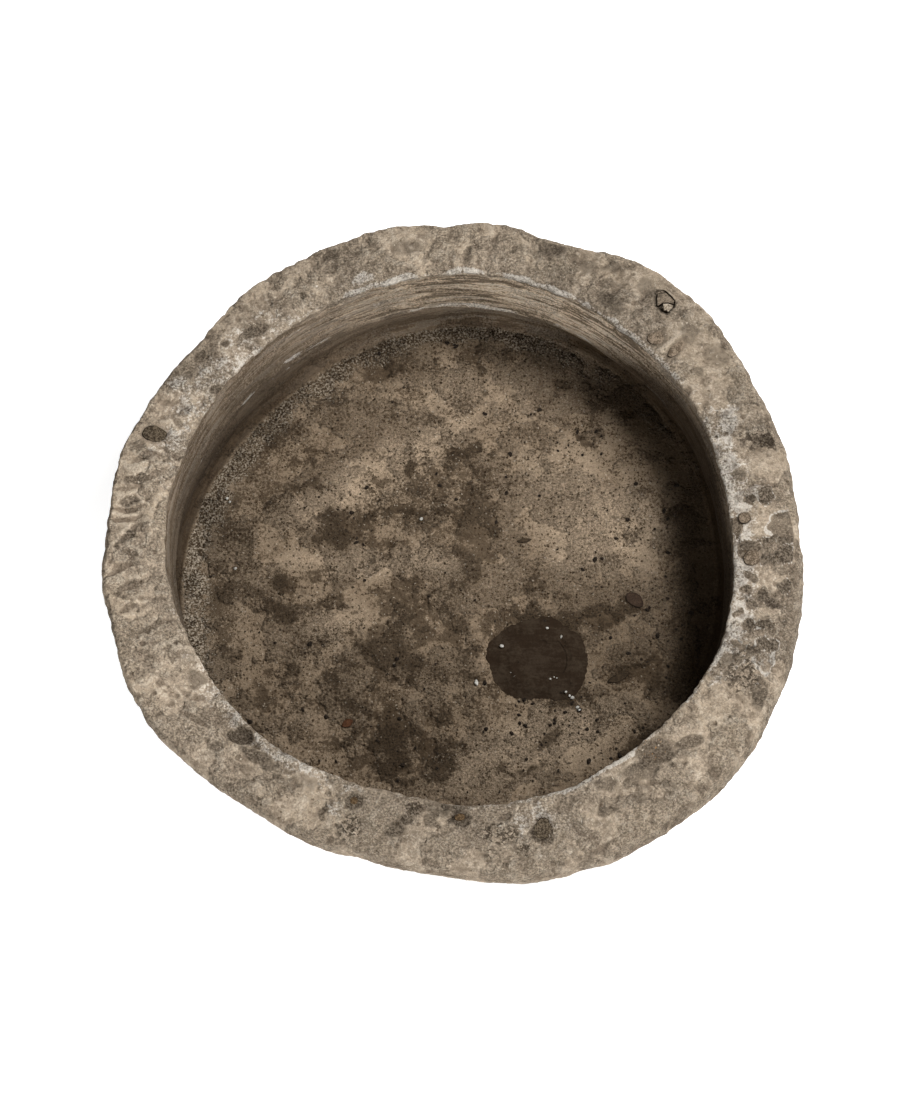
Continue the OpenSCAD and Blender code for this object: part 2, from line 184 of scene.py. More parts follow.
# Stains on the floor: place from the basin's centre, half length and half width in millimetres,
# turn in degrees and strength.
FLOOR_STAINS = (
    (-115, 52, 38, 21, 0, 1), (-150, 105, 13, 10, 0, 0.8), (-75, 105, 13, 9, 0, 0.9),
    (-170, -10, 21, 11, 10, 0.95), (-185, -40, 26, 17, 0, 0.85), (-125, -25, 14, 16, 0, 0.7),
    (-70, -85, 34, 35, 0, 1), (-65, 75, 21, 9, 20, 0.8), (-260, 75, 7, 20, 0, 0.9),
    (-265, 20, 8, 29, 0, 0.8), (-260, -40, 9, 18, 0, 0.7), (-155, 200, 27, 10, 40, 0.7),
    (-200, 145, 25, 9, 50, 0.7), (-90, 230, 44, 17, 5, 0.8), (-150, 210, 25, 13, 30, 0.7),
    (0, 270, 4, 11, 0, 1), (24, 52, 24, 50, 0, 1), (-40, 120, 19, 7, 15, 0.8), (5, 135, 19, 8, 10, 0.8),
    (45, 130, 13, 8, -30, 0.7), (-55, 75, 19, 8, -20, 0.8), (-48, -17, 34, 19, 0, 1),
    (80, -15, 34, 14, 5, 0.55), (140, 150, 16, 4, -35, 1), (170, 105, 15, 10, 0, 0.5),
    (115, 215, 13, 9, 0, 0.7), (185, 185, 8, 13, 0, 0.8), (118, -51, 36, 14, 8, 1),
    (155, -46, 28, 14, 12, 1), (184, -32, 17, 12, 0, 0.9), (85, -84, 54, 51, 0, 0.9),
    (112, -58, 26, 12, -20, 0.9), (180, -105, 14, 7, 30, 0.9), (203, -112, 13, 27, -15, 1),
    (195, -85, 8, 3, 0, 0.8), (150, -130, 13, 8, 20, 0.8), (120, -140, 10, 8, 0, 0.9),
    (95, -180, 19, 7, 42, 1), (80, -210, 19, 7, 20, 1), (50, -210, 7, 6, 0, 0.8),
    (178, -188, 22, 14, 20, 1), (-60, -180, 61, 38, -12, 0.85), (-35, -210, 31, 22, 0, 1),
    (-90, -200, 25, 16, 0, 0.8), (-10, -155, 19, 18, 0, 0.7), (-225, -90, 8, 10, 0, 0.8),
    (-135, -110, 6, 8, 0, 0.8), (-160, -115, 7, 7, 0, 0.8), (-200, -125, 6, 20, 20, 0.8),
    (-175, -105, 19, 9, 0, 0.8), (-205, -155, 21, 16, -40, 0.6), (-5, -56, 50, 24, 0, 0.75),
    (-80, 44, 28, 20, 0, 0.8), (-150, -3, 16, 16, 0, 0.8), (30, 210, 8, 50, 0, 0.6),
    (146, -70, 26, 24, 0, 0.6), (-3, 80, 28, 22, 0, 0.8), (28, 160, 14, 40, 0, 0.5),
    (-163, 119, 30, 24, 0, 0.6), (-117, 235, 44, 14, 20, 0.7), (-33, -24, 20, 20, 0, 0.6),
    (30, -60, 20, 30, 0, 0.7), (25, -95, 26, 36, 0, 0.6), (-61, -30, 24, 20, 0, 0.7),
)

# Zones of fine speckled dirt, wide places of painted shade, partly dirt, and clean places on the floor,
# written as the stains are.
FLOOR_DIRT = (
    (-85, -158, 82, 78, 0, 0.75), (-54, -196, 62, 36, -8, 1), (-238, -27, 28, 78, 0, 0.85),
    (-227, 60, 22, 42, 10, 0.8), (-188, 147, 60, 50, 30, 0.55), (-36, 84, 90, 44, 28, 1),
    (-34, -18, 52, 26, -10, 0.7), (-168, -18, 52, 32, 0, 0.7), (-126, -82, 60, 40, -20, 0.55),
    (-3, 251, 150, 20, 0, 0.6), (208, 60, 30, 45, 0, 0.6), (152, -136, 60, 26, 30, 0.45),
    (-157, -136, 55, 40, -35, 0.45), (193, -180, 20, 14, 0, 0.9), (110, 147, 60, 40, 0, 0.3),
    (85, -84, 58, 56, 0, 0.7), (128, -128, 15, 17, 0, 1), (175, 185, 40, 45, -30, 0.6),
    (-205, 100, 48, 36, 0, 0.85), (28, -138, 30, 34, 0, 0.6), (-30, 190, 80, 30, 0, 0.55),
)
FLOOR_SHADE_AND_DIRT = (
    (262, -80, 26, 70, 20, 0.9), (-40, -170, 120, 70, -10, 0.25), (-90, 235, 110, 30, 10, 0.3),
    (60, 250, 130, 25, -10, 0.4), (188, -82, 80, 70, 0, 0.5), (160, -205, 80, 30, 30, 0.5),
    (212, 150, 50, 70, -35, 0.15), (-222, 105, 40, 60, 30, 0.3), (-150, 190, 70, 40, 40, 0.3),
)
FLOOR_CLEAN = (
    (-82, 112, 105, 20, 31, 1), (-85, 14, 90, 14, 0, 0.85), (-121, -54, 35, 22, 0, 0.7),
    (35, 205, 80, 30, 0, 0.4), (120, 100, 45, 40, 0, 0.5), (158, 58, 56, 48, 0, 1),
    (40, -205, 60, 26, 10, 1), (70, -182, 32, 20, 20, 1), (120, -180, 60, 30, 30, 0.9),
    (165, -150, 30, 12, 30, 0.6), (91, -147, 8, 12, -30, 1), (-130, 205, 40, 16, 25, 0.6),
)


# Sizes and colours that a user would change


def length(name, description, default):
    """A length property in metres, given in millimetres."""
    return FloatProperty(name=name, description=description, default=default * MM, unit="LENGTH")


def colour(name, description, default):
    """A linear colour property."""
    return FloatVectorProperty(
        name=name, description=description, default=default, size=3, min=0, max=1, subtype="COLOR"
    )


class TroughSizes(bpy.types.PropertyGroup):
    """Sizes of the trough, the same as the solid model's."""

    outer_r: length("Outer radius", "Mean radius of the outside at its widest", 355)
    body_h: length("Height", "Height of the mean rim above the ground", 225)
    side_taper: length("Side taper", "How far the side leans in down to the ground", 57)
    foot_round: length("Foot rounding", "Radius of the worn edge round the underside", 16)
    belly_drop: length("Belly drop", "Mean height from the widest part up to the rim", 18)
    belly_swing: length("Belly swing", "How much that height changes round the block", 11)
    shoulder_w: length("Shoulder width", "Mean width of the worn shoulder", 7)
    shoulder_swing: length("Shoulder swing", "How much the shoulder changes round the block", 5)
    basin_d: length("Basin depth", "Depth of the floor below the mean rim", 135)
    wall_flare: length("Wall flare", "How far the foot of the wall stands out beyond the mouth", 3)
    ledge_w: length("Ledge width", "How far the worn ledge stands in from the mouth", 6)
    ledge_h: length("Ledge height", "Height of the ledge above the floor", 53)
    floor_round: length("Floor rounding", "Radius of the corner between wall and floor", 14)
    rim_w: length("Rim width", "Mean width of the rim", 68)
    rim_crown: length("Rim crown", "How far the middle of the rim stands above its edges", 3)
    lip_r: length("Lip radius", "Radius of the worn lip round the mouth", 4)
    rim_hollow_d: length("Rim hollow depth", "Depth of the deepest hollow in the rim's face", 5)
    hewn_d: length("Hewn depth", "Depth of the chisel hollows on the outside", 3)
    basin_x: length("Basin shift across", "The basin's centre from the block's, to the right", -5.5)
    basin_y: length("Basin shift along", "The basin's centre from the block's, to the back", 9)
    hole_r: length("Drain hole radius", "Radius of the hole that the stopper closes", 22.3)
    mortar_r: length("Mortar radius", "Mean radius of the mortar round the stopper", 48)
    chip_in: length("Chip inset", "The chip's distance in from the outer edge", 20)
    body_columns: IntProperty(name="Body columns", description="Points round the body", default=800, min=96)
    rim_columns: IntProperty(name="Rim columns", description="Points round the rim", default=1180, min=96)


class TroughColours(bpy.types.PropertyGroup):
    """Colours of the trough's finishes."""

    # The dark rim colour also paints shade in the rim's hollows and round its pebbles.
    rim_dark: colour("Rim, dark", "Hollows, damp marks and darker stones", (0.115, 0.085, 0.06))
    rim_mid: colour("Rim", "Weathered stone of the rim", (0.315, 0.253, 0.187))
    rim_warm: colour("Rim, warm", "Yellower places of the rim", (0.34, 0.27, 0.19))
    rim_pale: colour("Rim, pale", "Worn high places of the rim", (0.46, 0.392, 0.308))
    lime: colour("Lime", "White lime left by water", (0.5, 0.46, 0.405))
    wall_dark: colour("Wall, dark", "Foot of the basin's wall", (0.07, 0.047, 0.029))
    wall_mid: colour("Wall", "Strata in the basin's wall", (0.42, 0.325, 0.23))
    silt: colour("Silt", "Dry silt on the floor", (0.285, 0.217, 0.15))
    silt_dark: colour("Silt, darker", "Thin dirt over the silt", (0.15, 0.105, 0.066))
    stain: colour("Stain", "Dark stains on the floor", (0.045, 0.031, 0.019))
    # This colour also paints shade along the right and back of the floor and on the wall's right and foot.
    murk_and_shade: colour("Murk", "The darkest dirt, along the right of the floor", (0.022, 0.013, 0.006))
    crust: colour("Crust", "Grains of the lime crust by the wall", (0.26, 0.205, 0.145))
    mortar: colour("Mortar", "Dark mortar round the stopper", (0.018, 0.011, 0.0062))
    rust: colour("Rust", "Rusty specks in the rim's hollows", (0.3, 0.16, 0.06))


# Noise and masks


def smooth(value):
    """Rises smoothly from 0 to 1 as value goes from 0 to 1: three squares less two cubes."""
    value = np.clip(value, 0, 1)
    return value * value * (3 - 2 * value)


def noise(points, size, seed=0):
    """Gradient noise from about -1 to 1 at points, with features about one size across.

    Each corner of a cubic lattice has a seeded random slope. The value is the corners' slopes times
    the way to them, blended by the smooth curve."""
    random = np.random.RandomState(seed)
    slopes = random.normal(size=(256, 3))
    slopes /= np.linalg.norm(slopes, axis=1)[:, None]
    order = random.permutation(256)
    places = points / size
    corner = np.floor(places).astype(int)
    inside = places - corner
    blend = smooth(inside)
    total = 0
    for step in np.ndindex(2, 2, 2):
        cell = (corner + step) & 255
        pick = order[(order[(order[cell[..., 0]] + cell[..., 1]) & 255] + cell[..., 2]) & 255]
        share = np.prod(np.where(np.array(step), blend, 1 - blend), axis=-1)
        total = total + share * np.sum(slopes[pick] * (inside - step), axis=-1)
    return 1.6 * total


def rough(points, size, octaves=3, seed=0):
    """Sum of noises, each half the size and half the height of the one before."""
    return sum(noise(points, size / 2**i, seed + i) / 2**i for i in range(octaves))


def bend(points, amount, size, seed):
    """Points moved by noise, so that what is laid out on them gets an uneven outline."""
    return points + amount * np.stack([rough(points, size, 2, seed + 4 * i) for i in range(3)], axis=-1)


def oval_reach(across, along, half_l, half_w, turn):
    """How far out of an oval's middle: 0 there and 1 on the oval, which is turned by degrees."""
    c, s = math.cos(math.radians(turn)), math.sin(math.radians(turn))
    return np.hypot((across * c + along * s) / (half_l * MM), (along * c - across * s) / (half_w * MM))


def ovals(plan, places, softness=0.5):
    """Soft ovals: for each, its strength times a smooth fall from its core to its edge; the largest holds."""
    found = np.zeros(plan.shape[:-1])
    for x, y, half_l, half_w, turn, strength in places:
        reach = oval_reach(plan[..., 0] - x * MM, plan[..., 1] - y * MM, half_l, half_w, turn)
        found = np.maximum(found, strength * smooth((1 + softness - reach) / (2 * softness)))
    return found


def dents(points, places, random, radii, depths, power=2.0):
    """Round scoops, their radii and depths drawn at random between the two ends given.

    Each takes its depth times one less the reach to a power. The deepest holds."""
    found = np.zeros(points.shape[:-1])
    radii = random.uniform(*radii, len(places)) * MM
    depths = random.uniform(*depths, len(places))
    for spot, radius, depth in zip(places, radii, depths):
        reach = np.sqrt(np.sum((points - spot) ** 2, axis=-1)) / radius
        found = np.maximum(found, depth * np.maximum(0, 1 - reach**power) ** 1.4)
    return found


def around(count):
    """This many directions spaced evenly round the circle, in radians."""
    return np.arange(count) * 2 * math.pi / count


def turned(plan, degrees):
    """Plan points turned about the origin, anticlockwise."""
    c, s = math.cos(math.radians(degrees)), math.sin(math.radians(degrees))
    return plan @ np.array([[c, s], [-s, c]])


def sector(angle, middle, half):
    """1 in the direction middle, falling smoothly to 0 at half degrees to each side."""
    off = (np.degrees(angle) - middle + 180) % 360 - 180
    return smooth(1.5 - 1.5 * np.abs(off) / half)


def depth_inside(across, along, outline):
    """Distance into a convex outline: the least distance inside its sides, below 0 outside."""
    points = np.array(outline) * MM
    middle = points.mean(axis=0)
    found = np.full_like(across, 1.0)
    for start, end in zip(points, np.roll(points, -1, axis=0)):
        side = end - start
        out = np.array([side[1], -side[0]]) / np.linalg.norm(side)
        out = -out if out @ (middle - start) > 0 else out
        found = np.minimum(found, (start[0] - across) * out[0] + (start[1] - along) * out[1])
    return found


# The block's plan and heights

# The direction in which the shoulder is worn widest, and the chip's direction from the block's middle.
WORN_TURN = math.radians(-35)
CHIP_TURN = math.radians(51)
# The side leans out as this power of its height.
SIDE_BEND = 0.85
# The rim's lip stands this far into the mouth, so that it covers the edge of the wall below.
LIP_PROUD = 0.7 * MM
# Rings over the floor, the side and the rim's face.
FLOOR_RINGS = 56
SIDE_RINGS = 22
RIM_RINGS = 58


def waves(shape, angle):
    """Sum over the waves of size times the cosine of count times the angle from the crest, in metres."""
    sizes, crests = shape
    return MM * sum(
        size * np.cos(count * (angle - math.radians(crest)))
        for count, size, crest in zip(WAVE_COUNTS, sizes, crests)
    )


def ray(angle):
    """Unit vectors in the plan in these directions."""
    return np.stack([np.cos(angle), np.sin(angle)], axis=-1)


def with_z(plan, height):
    """Plan points with a height each."""
    height = np.broadcast_to(height, plan.shape[:-1])
    return np.concatenate([plan, height[..., None]], axis=-1)


def ring_at(centre, radius, angle):
    """Plan points round a centre, at these distances and directions."""
    return centre + np.asarray(radius)[..., None] * ray(angle)


class Block:
    """The block's outlines and heights as functions of the direction, in the frame's own coordinates."""

    def __init__(self, sizes):
        self.s = sizes
        angle = around(96)
        ring = ring_at(0, sizes.outer_r + waves(OUTER_WAVES, angle), angle)
        self.middle = -(ring.min(axis=0) + ring.max(axis=0)) / 2
        self.basin = self.middle + np.array([sizes.basin_x, sizes.basin_y])
        self.stopper = low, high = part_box("drain_stopper")
        self.drain = np.array([(low.x + high.x) / 2, (low.y + high.y) / 2])
        self.head_r = (high.x - low.x) / 2
        self.floor_z = sizes.body_h - sizes.basin_d
        self.ledge_z = self.floor_z + sizes.ledge_h

    def outer(self, angle, inset=0.0):
        """Outline of the block at its widest, or this far inside it."""
        return ring_at(self.middle, self.s.outer_r - inset + waves(OUTER_WAVES, angle), angle)

    def base(self, angle, inset=0.0):
        """Outline of the block at the ground, or this far inside it."""
        return self.outer(angle, self.s.side_taper + inset)

    def mouth_radius(self, angle):
        """The mouth's distance from the basin's centre."""
        return self.s.outer_r - self.s.rim_w + waves(MOUTH_WAVES, angle)

    def mouth(self, angle, out=0.0):
        """Outline of the mouth, or this far outside it."""
        return ring_at(self.basin, self.mouth_radius(angle) + out, angle)

    def floor(self, angle, inset=0.0):
        """Outline of the floor, or this far inside it."""
        radius = self.s.outer_r - self.s.rim_w + self.s.wall_flare - inset
        return ring_at(self.basin, radius + waves(FLOOR_WAVES, angle), angle)

    def shoulder(self, angle):
        """Width of the worn shoulder."""
        return self.s.shoulder_w + self.s.shoulder_swing * np.cos(angle - WORN_TURN)

    def belly_z(self, angle):
        """Height at which the block is widest."""
        return self.s.body_h - self.s.belly_drop - self.s.belly_swing * np.cos(angle - WORN_TURN)

    def rim_edge_z(self, angle):
        """Height of the rim at both its edges."""
        return self.s.body_h - self.s.rim_crown + waves(RIM_WAVES, angle)

    def rim_z(self, angle, share):
        """Height of the plain rim at this share of its width: half a sine wave over its edges."""
        return self.rim_edge_z(angle) + self.s.rim_crown * np.sin(math.pi * np.clip(share, 0, 1))

    def way_out(self, points):
        """The direction of points from the basin's centre, and how far out from the mouth they are."""
        plan = points[..., :2] - self.basin
        angle = np.arctan2(plan[..., 1], plan[..., 0])
        return angle, np.linalg.norm(plan, axis=-1) - self.mouth_radius(angle)

    def sunk(self, plan, share):
        """How far the main hollows sink the rim's face at plan points, less towards both edges of the rim."""
        depth = 0.0
        for degrees, out, half_l, half_w, turn, part in RIM_HOLLOWS:
            away = plan - self.mouth(math.radians(degrees), out * MM)
            reach = oval_reach(away[..., 0], away[..., 1], half_l, half_w, turn)
            depth = depth + part * smooth(HOLLOW_END - reach)
        return self.s.rim_hollow_d * depth * smooth(np.minimum(share, 1 - share) / HOLLOW_FADE)

    def rim_share(self, plan):
        """How far in plan points lie across the rim: 0 at its outer edge, 1 at the lip."""
        angle, out = self.way_out(plan)
        inner, outer = self.mouth(angle, self.s.lip_r), self.outer(angle, self.shoulder(angle))
        return np.clip(1 - (out - self.s.lip_r) / np.linalg.norm(outer - inner, axis=-1), 0, 1)

    def rim_height(self, plan):
        """The height of the rim's face above plan points, with its main hollows."""
        angle, _ = self.way_out(plan)
        share = self.rim_share(plan)
        return self.rim_z(angle, share) - self.sunk(plan, share)

    def side_hollow(self, angle, share):
        """Depth of the chisel hollows up and down the side, which die out at the ground and at the belly."""
        run = np.sin(17 * angle + math.radians(60) * share) * np.cos(5 * angle - math.radians(40))
        return self.s.hewn_d * np.sin(math.pi * share) * (0.5 + 0.5 * run)

    def on_rim(self, degrees, out):
        """The point of the rim in a direction from the basin's centre, this many millimetres out."""
        plan = self.mouth(np.radians(degrees), out * MM)
        return with_z(plan, self.rim_height(plan))

    def chip_place(self):
        """The middle of the chip, on the rim."""
        plan = self.outer(CHIP_TURN, self.s.chip_in)
        return with_z(plan, self.rim_height(plan))


def between(first, second, count, start=0.0, end=1.0, power=1.0):
    """Rings of points spaced from first to second, both included unless start and end say less."""
    share = np.linspace(start, end, count) ** power
    return first + (second - first) * share[:, None, None]


def side_points(block, angle, height, inset=0.0):
    """Points of the plain side at these heights: it leans in down to the foot."""
    s = block.s
    share = np.clip((height - s.foot_round) / (block.belly_z(angle) - s.foot_round), 0, 1)
    plan = block.base(angle) + (block.outer(angle) - block.base(angle)) * (share**SIDE_BEND)[..., None]
    return with_z(plan - (inset + block.side_hollow(angle, share))[..., None] * ray(angle), height)


def corner(radius, *degrees):
    """Steps round a quarter circle of this radius: how far in and how far up it is at each turn."""
    return [(radius * (1 - math.sin(turn)), radius * (1 - math.cos(turn))) for turn in np.radians(degrees)]


class Skin:
    """Rings of points round the block, and the part of the stone that each ring belongs to."""

    def __init__(self):
        self.rings = []
        self.parts = []

    def add(self, part, points):
        """Adds one ring or a stack of rings."""
        stack = points.reshape(-1, *points.shape[-2:])
        self.rings.append(stack)
        self.parts += [part] * len(stack)

    def grid(self):
        """All rings, with their points clockwise so that the faces look outwards, and their parts."""
        return np.concatenate(self.rings)[:, ::-1], np.array(self.parts)


def body_rings(block, columns):
    """The block's skin below the rim, as rings round it: from the drain hole's upper edge over the floor,
    up the wall, under the rim, down the side, under the foot and up the hole's bore.

    On the floor and the underside the rings change evenly from the hole's circle to the outline."""
    s = block.s
    angle = around(columns)
    hole = block.drain + s.hole_r * ray(angle)
    lip_z, belly_z = block.rim_edge_z(angle) - s.lip_r, block.belly_z(angle)
    skin = Skin()
    flat = with_z(block.floor(angle, s.floor_round), block.floor_z)
    skin.add("floor", between(with_z(hole, block.floor_z), flat, FLOOR_RINGS, power=0.9))
    for inset, rise in corner(s.floor_round, 22, 45, 68):
        skin.add("wall", with_z(block.floor(angle, inset), block.floor_z + rise))
    foot = with_z(block.floor(angle), block.floor_z + s.floor_round)
    ledge = with_z(block.mouth(angle, -s.ledge_w), block.ledge_z)
    under = with_z(0.35 * ledge[:, :2] + 0.65 * block.floor(angle), block.ledge_z - 16 * MM)
    upper = with_z(block.mouth(angle, -s.ledge_w * 0.35), (s.body_h + block.ledge_z) / 2)
    lip = with_z(block.mouth(angle), lip_z - 1.5 * MM)
    skin.add("wall", between(foot, under, 5, end=0.86))
    skin.add("wall", between(under, ledge, 4, end=0.8))
    skin.add("wall", between(ledge, upper, 8, end=0.9))
    skin.add("wall", between(upper, lip, 9))
    skin.add("inside", with_z(block.mouth(angle, 5 * MM), lip_z - 6 * MM))
    skin.add("inside", with_z(block.outer(angle, 12 * MM), belly_z - 4 * MM))
    skin.add("side", with_z(block.outer(angle, 1.5 * MM), belly_z + 0.5 * MM))
    share = np.linspace(0.985, 0, SIDE_RINGS)[:, None]
    skin.add("side", side_points(block, angle, s.foot_round + (belly_z - s.foot_round) * share))
    for inset, rise in corner(s.foot_round, 60, 30, 0):
        skin.add("under", with_z(block.base(angle, inset), rise))
    skin.add("under", between(with_z(block.base(angle, s.foot_round), 0), with_z(hole, 0), 8)[1:])
    skin.add("bore", between(with_z(hole, 0), with_z(hole, block.floor_z), 4)[1:-1])
    return skin.grid()


def rim_rings(block, columns):
    """The rim as rings round the block: from behind the wall over the lip, the face and the shoulder to a
    skirt that dives into the side, and back through the inside of the stone."""
    s = block.s
    angle = around(columns)
    edge_z, belly_z = block.rim_edge_z(angle), block.belly_z(angle)
    lip_z = edge_z - s.lip_r
    skin = Skin()
    for out, drop in ((1.5, 8), (0.2, 5.5), (-0.5, 3), (-0.7, 1.2)):
        skin.add("wall", with_z(block.mouth(angle, out * MM), lip_z - drop * MM))
    for drop, out in corner(s.lip_r, 0, 18, 36, 54, 72):
        proud = LIP_PROUD * (1 - out / s.lip_r)
        skin.add("lip", with_z(block.mouth(angle, out - proud), edge_z - drop))
    share = np.linspace(1, 0, RIM_RINGS)[:, None]
    inner, outer = block.mouth(angle, s.lip_r), block.outer(angle, block.shoulder(angle))
    plan = outer + (inner - outer) * share[..., None]
    skin.add("rim", with_z(plan, block.rim_z(angle, share) - block.sunk(plan, share)))
    for turn in np.radians([82, 72, 62, 52, 42, 31, 20, 10, 0]):
        plan = block.outer(angle, block.shoulder(angle) * (1 - math.cos(turn)))
        skin.add("shoulder", with_z(plan, belly_z + (edge_z - belly_z) * math.sin(turn)))
    for drop, inset in ((2.5, 0), (5.5, 0.3), (9, 1.1), (13, 2.4)):
        skin.add("side", side_points(block, angle, belly_z - drop * MM, inset * MM))
    for inset, drop in ((14, 12), (30, 8)):
        skin.add("inside", with_z(block.outer(angle, inset * MM), belly_z - drop * MM))
    for out, drop in ((14, 14), (5, 12)):
        skin.add("inside", with_z(block.mouth(angle, out * MM), lip_z - drop * MM))
    return skin.grid()


def ring_normals(rings):
    """Outward unit normals of a grid of rings: one step round crossed with one step along.

    The first ring's neighbour is the last one, as the grid closes both ways."""
    round_step = np.roll(rings, -1, axis=1) - np.roll(rings, 1, axis=1)
    along_step = np.roll(rings, -1, axis=0) - np.roll(rings, 1, axis=0)
    normal = np.cross(round_step, along_step)
    return normal / np.maximum(np.linalg.norm(normal, axis=-1, keepdims=True), 1e-12)


# The hewn surface

# Scoops and pits of the pick: how many, then the ends of their radii and of their depths in millimetres.
RIM_SCOOPS = (210, (13, 30), (0.7, 2.8))
RIM_PITS = (110, (1.8, 4.4), (0.5, 1.9))
SIDE_SCOOPS = (240, (20, 42), (0.8, 2.8))
# A place of the rim with rusty specks, and the half length and half width of the floor's flat place under
# the mortar, in millimetres.
RUSTY_HOLLOW = (198, -228, 14, 9, 0, 1)
MORTAR_BED = (54, 50)
# The chip's pocket in millimetres: its depth, and how far the face round it dips.
POCKET_DEPTH = 8
POCKET_DIP = 2.4


def rim_places(block, rows):
    """The same ovals with their directions and distances turned into places in the plan, in millimetres."""
    return [(*(block.mouth(math.radians(row[0]), row[1] * MM) / MM), *row[2:]) for row in rows]


def rim_marks(block, points, softness):
    """Soft mask of the darker stones and marks in the rim's face."""
    rows = []
    for degrees, out, half_l, half_w, *rest in RIM_MARKS:
        grown = 1 + MARK_GROWTH * float(sector(math.radians(degrees), -8, 30))
        rows.append((degrees, out, half_l * grown, half_w * grown, *rest))
    return ovals(bend(points, 3.5 * MM, 10 * MM, 60), rim_places(block, rows), softness)


def pebble_seats(block, points, grow, softness):
    """Soft mask of the pebbles' seats, each this many times the pebble's own size."""
    rows = [(*row[1:3], row[3] * grow, row[4] * grow, row[5], 1) for row in PEBBLES]
    return ovals(points, rim_places(block, rows), softness)


def rim_spots(block, count, low, high, random):
    """Points scattered on the rim between two shares of its width."""
    turn, share = random.uniform(0, 2 * math.pi, count), random.uniform(low, high, count)
    plan = block.mouth(turn) + (block.outer(turn) - block.mouth(turn)) * share[:, None]
    return with_z(plan, block.s.body_h)


def rim_relief(block, points):
    """How far the rim's face stands out of the plain rim, in metres.

    Wide swells, the scoops of the mason's pick, near-radial furrows on the left, small pits, low stones
    that the weather has left standing, and nicks in the lip. Round each pebble the face dips to a level
    just under the pebble's crown."""
    angle, _ = block.way_out(points)
    bent = bend(points, 7 * MM, 34 * MM, 3)
    random = np.random.RandomState(5)
    flat = points * np.array([1, 1, 0]) + np.array([0, 0, block.s.body_h])
    count, *sizes = RIM_SCOOPS
    scoops = dents(bent, rim_spots(block, count, -0.05, 1.1, random), random, *sizes)
    count, *sizes = RIM_PITS
    pits = dents(flat, rim_spots(block, count, 0.05, 0.98, random), random, *sizes, power=3)

    run = angle * 0.32 / (13 * MM) + 1.3 * noise(points, 40 * MM, 18)
    ripple = (np.abs(np.sin(math.pi * run)) ** 0.7 - 0.65) * sector(angle, 184, 40)
    ripple = ripple * smooth(0.4 + 1.4 * noise(points, 34 * MM, 19))
    furrows = ovals(bent, rim_places(block, RIM_FURROWS), 0.45)

    marks = rim_marks(block, points, 0.3)
    right = sector(angle, -8, 40)
    worn = 0.8 * marks * right - 0.8 * marks * (1 - right)
    nicks = ovals(points, rim_places(block, RIM_NICKS))
    height = 1.6 * rough(points, 80 * MM, 2, 10) - scoops - pits + 1.3 * ripple - 2.8 * furrows
    height = height + worn + 1.1 * rough(bent, 14 * MM, 3, 14) + 0.5 * rough(points, 5 * MM, 2, 16) + 0.9
    height = height - 4.5 * nicks
    seats = pebble_seats(block, points, 1.35, 0.45)
    return MM * (height * (1 - seats) - 0.8 * seats)


def chip_calm(block, points):
    """1 far from the chip, and less near it, where the face is smooth enough to seat it."""
    x, y = block.chip_place()[:2] / MM
    return 1 - ovals(points, ((x, y, 17, 19, 0, 0.75),), 0.35)


def wall_relief(points):
    """How far the basin's wall stands out: level strata, worn back unevenly."""
    level = points * np.array([1, 1, 9.0])
    found = 1.3 * rough(level, 80 * MM, 3, 20) + 0.7 * rough(level, 30 * MM, 2, 27)
    return MM * (found + 0.9 * rough(points, 50 * MM, 2, 24) + 0.3 * rough(points, 8 * MM, 2, 26))


def floor_relief(points):
    """How far the floor stands out: low swells, and the grain of the silt."""
    return MM * (0.8 * rough(points, 80 * MM, 2, 30) + 0.2 * rough(points, 12 * MM, 2, 32))


def side_relief(block, points):
    """How far the outside stands out: swells, wide scoops and slanting tool furrows, less at the foot."""
    angle, _ = block.way_out(points)
    bent = bend(points, 9 * MM, 40 * MM, 45)
    tool = (angle * 0.33 + 0.55 * points[..., 2]) / (16 * MM) + 1.1 * noise(points, 60 * MM, 40)
    furrow = np.abs(np.sin(math.pi * tool)) ** 0.7 - 0.65
    random = np.random.RandomState(9)
    count, *sizes = SIDE_SCOOPS
    turn, height = random.uniform(0, 2 * math.pi, count), random.uniform(10, 215, count) * MM
    share = np.clip(height / block.s.body_h, 0, 1)[:, None] ** SIDE_BEND
    spots = with_z(block.base(turn) + (block.outer(turn) - block.base(turn)) * share, height)
    scoops = dents(bent, spots, random, *sizes)
    found = 1.5 * rough(points, 110 * MM, 2, 42) - scoops + 0.9 * furrow + 0.7 * rough(points, 9 * MM, 2, 47)
    return MM * (0.25 + 0.75 * smooth(points[..., 2] / (60 * MM))) * (found + 1.2)


def edge_growth(block, points, parts):
    """How far the outer edge stands out sideways: its bumps and bites, and a ragged finer line."""
    angle, _ = block.way_out(points)
    bumps = sum(size * sector(angle, middle, 2 * half) for middle, half, size in EDGE_BUMPS)
    ragged = 1.5 * rough(points, 28 * MM, 2, 50) + 0.8 * rough(points, 7 * MM, 3, 53)
    outside = np.isin(parts, ("side", "shoulder"))[:, None]
    share = np.zeros(len(parts))
    share[parts == "rim"] = np.linspace(0, 1, np.count_nonzero(parts == "rim")) ** 3
    reach = outside * smooth(1 - (block.s.body_h - points[..., 2]) / (120 * MM))
    return MM * (bumps + ragged) * np.maximum(reach, share[:, None])


def mouth_growth(block, points, parts):
    """How far the mouth's edge is worn outwards: the same for all heights near the lip, less away from it."""
    angle, out = block.way_out(points)
    line = with_z(block.mouth(angle), 0)
    worn = 1.5 * rough(line, 24 * MM, 2, 56) + 0.9 * rough(line, 7 * MM, 2, 58) + 0.3
    below = block.s.body_h - points[..., 2]
    near = np.isin(parts, ("wall", "lip"))[:, None] * smooth(1.3 - below / (34 * MM))
    near = np.maximum(near, (parts == "rim")[:, None] * smooth(1.2 - out / (16 * MM)))
    return MM * worn * near


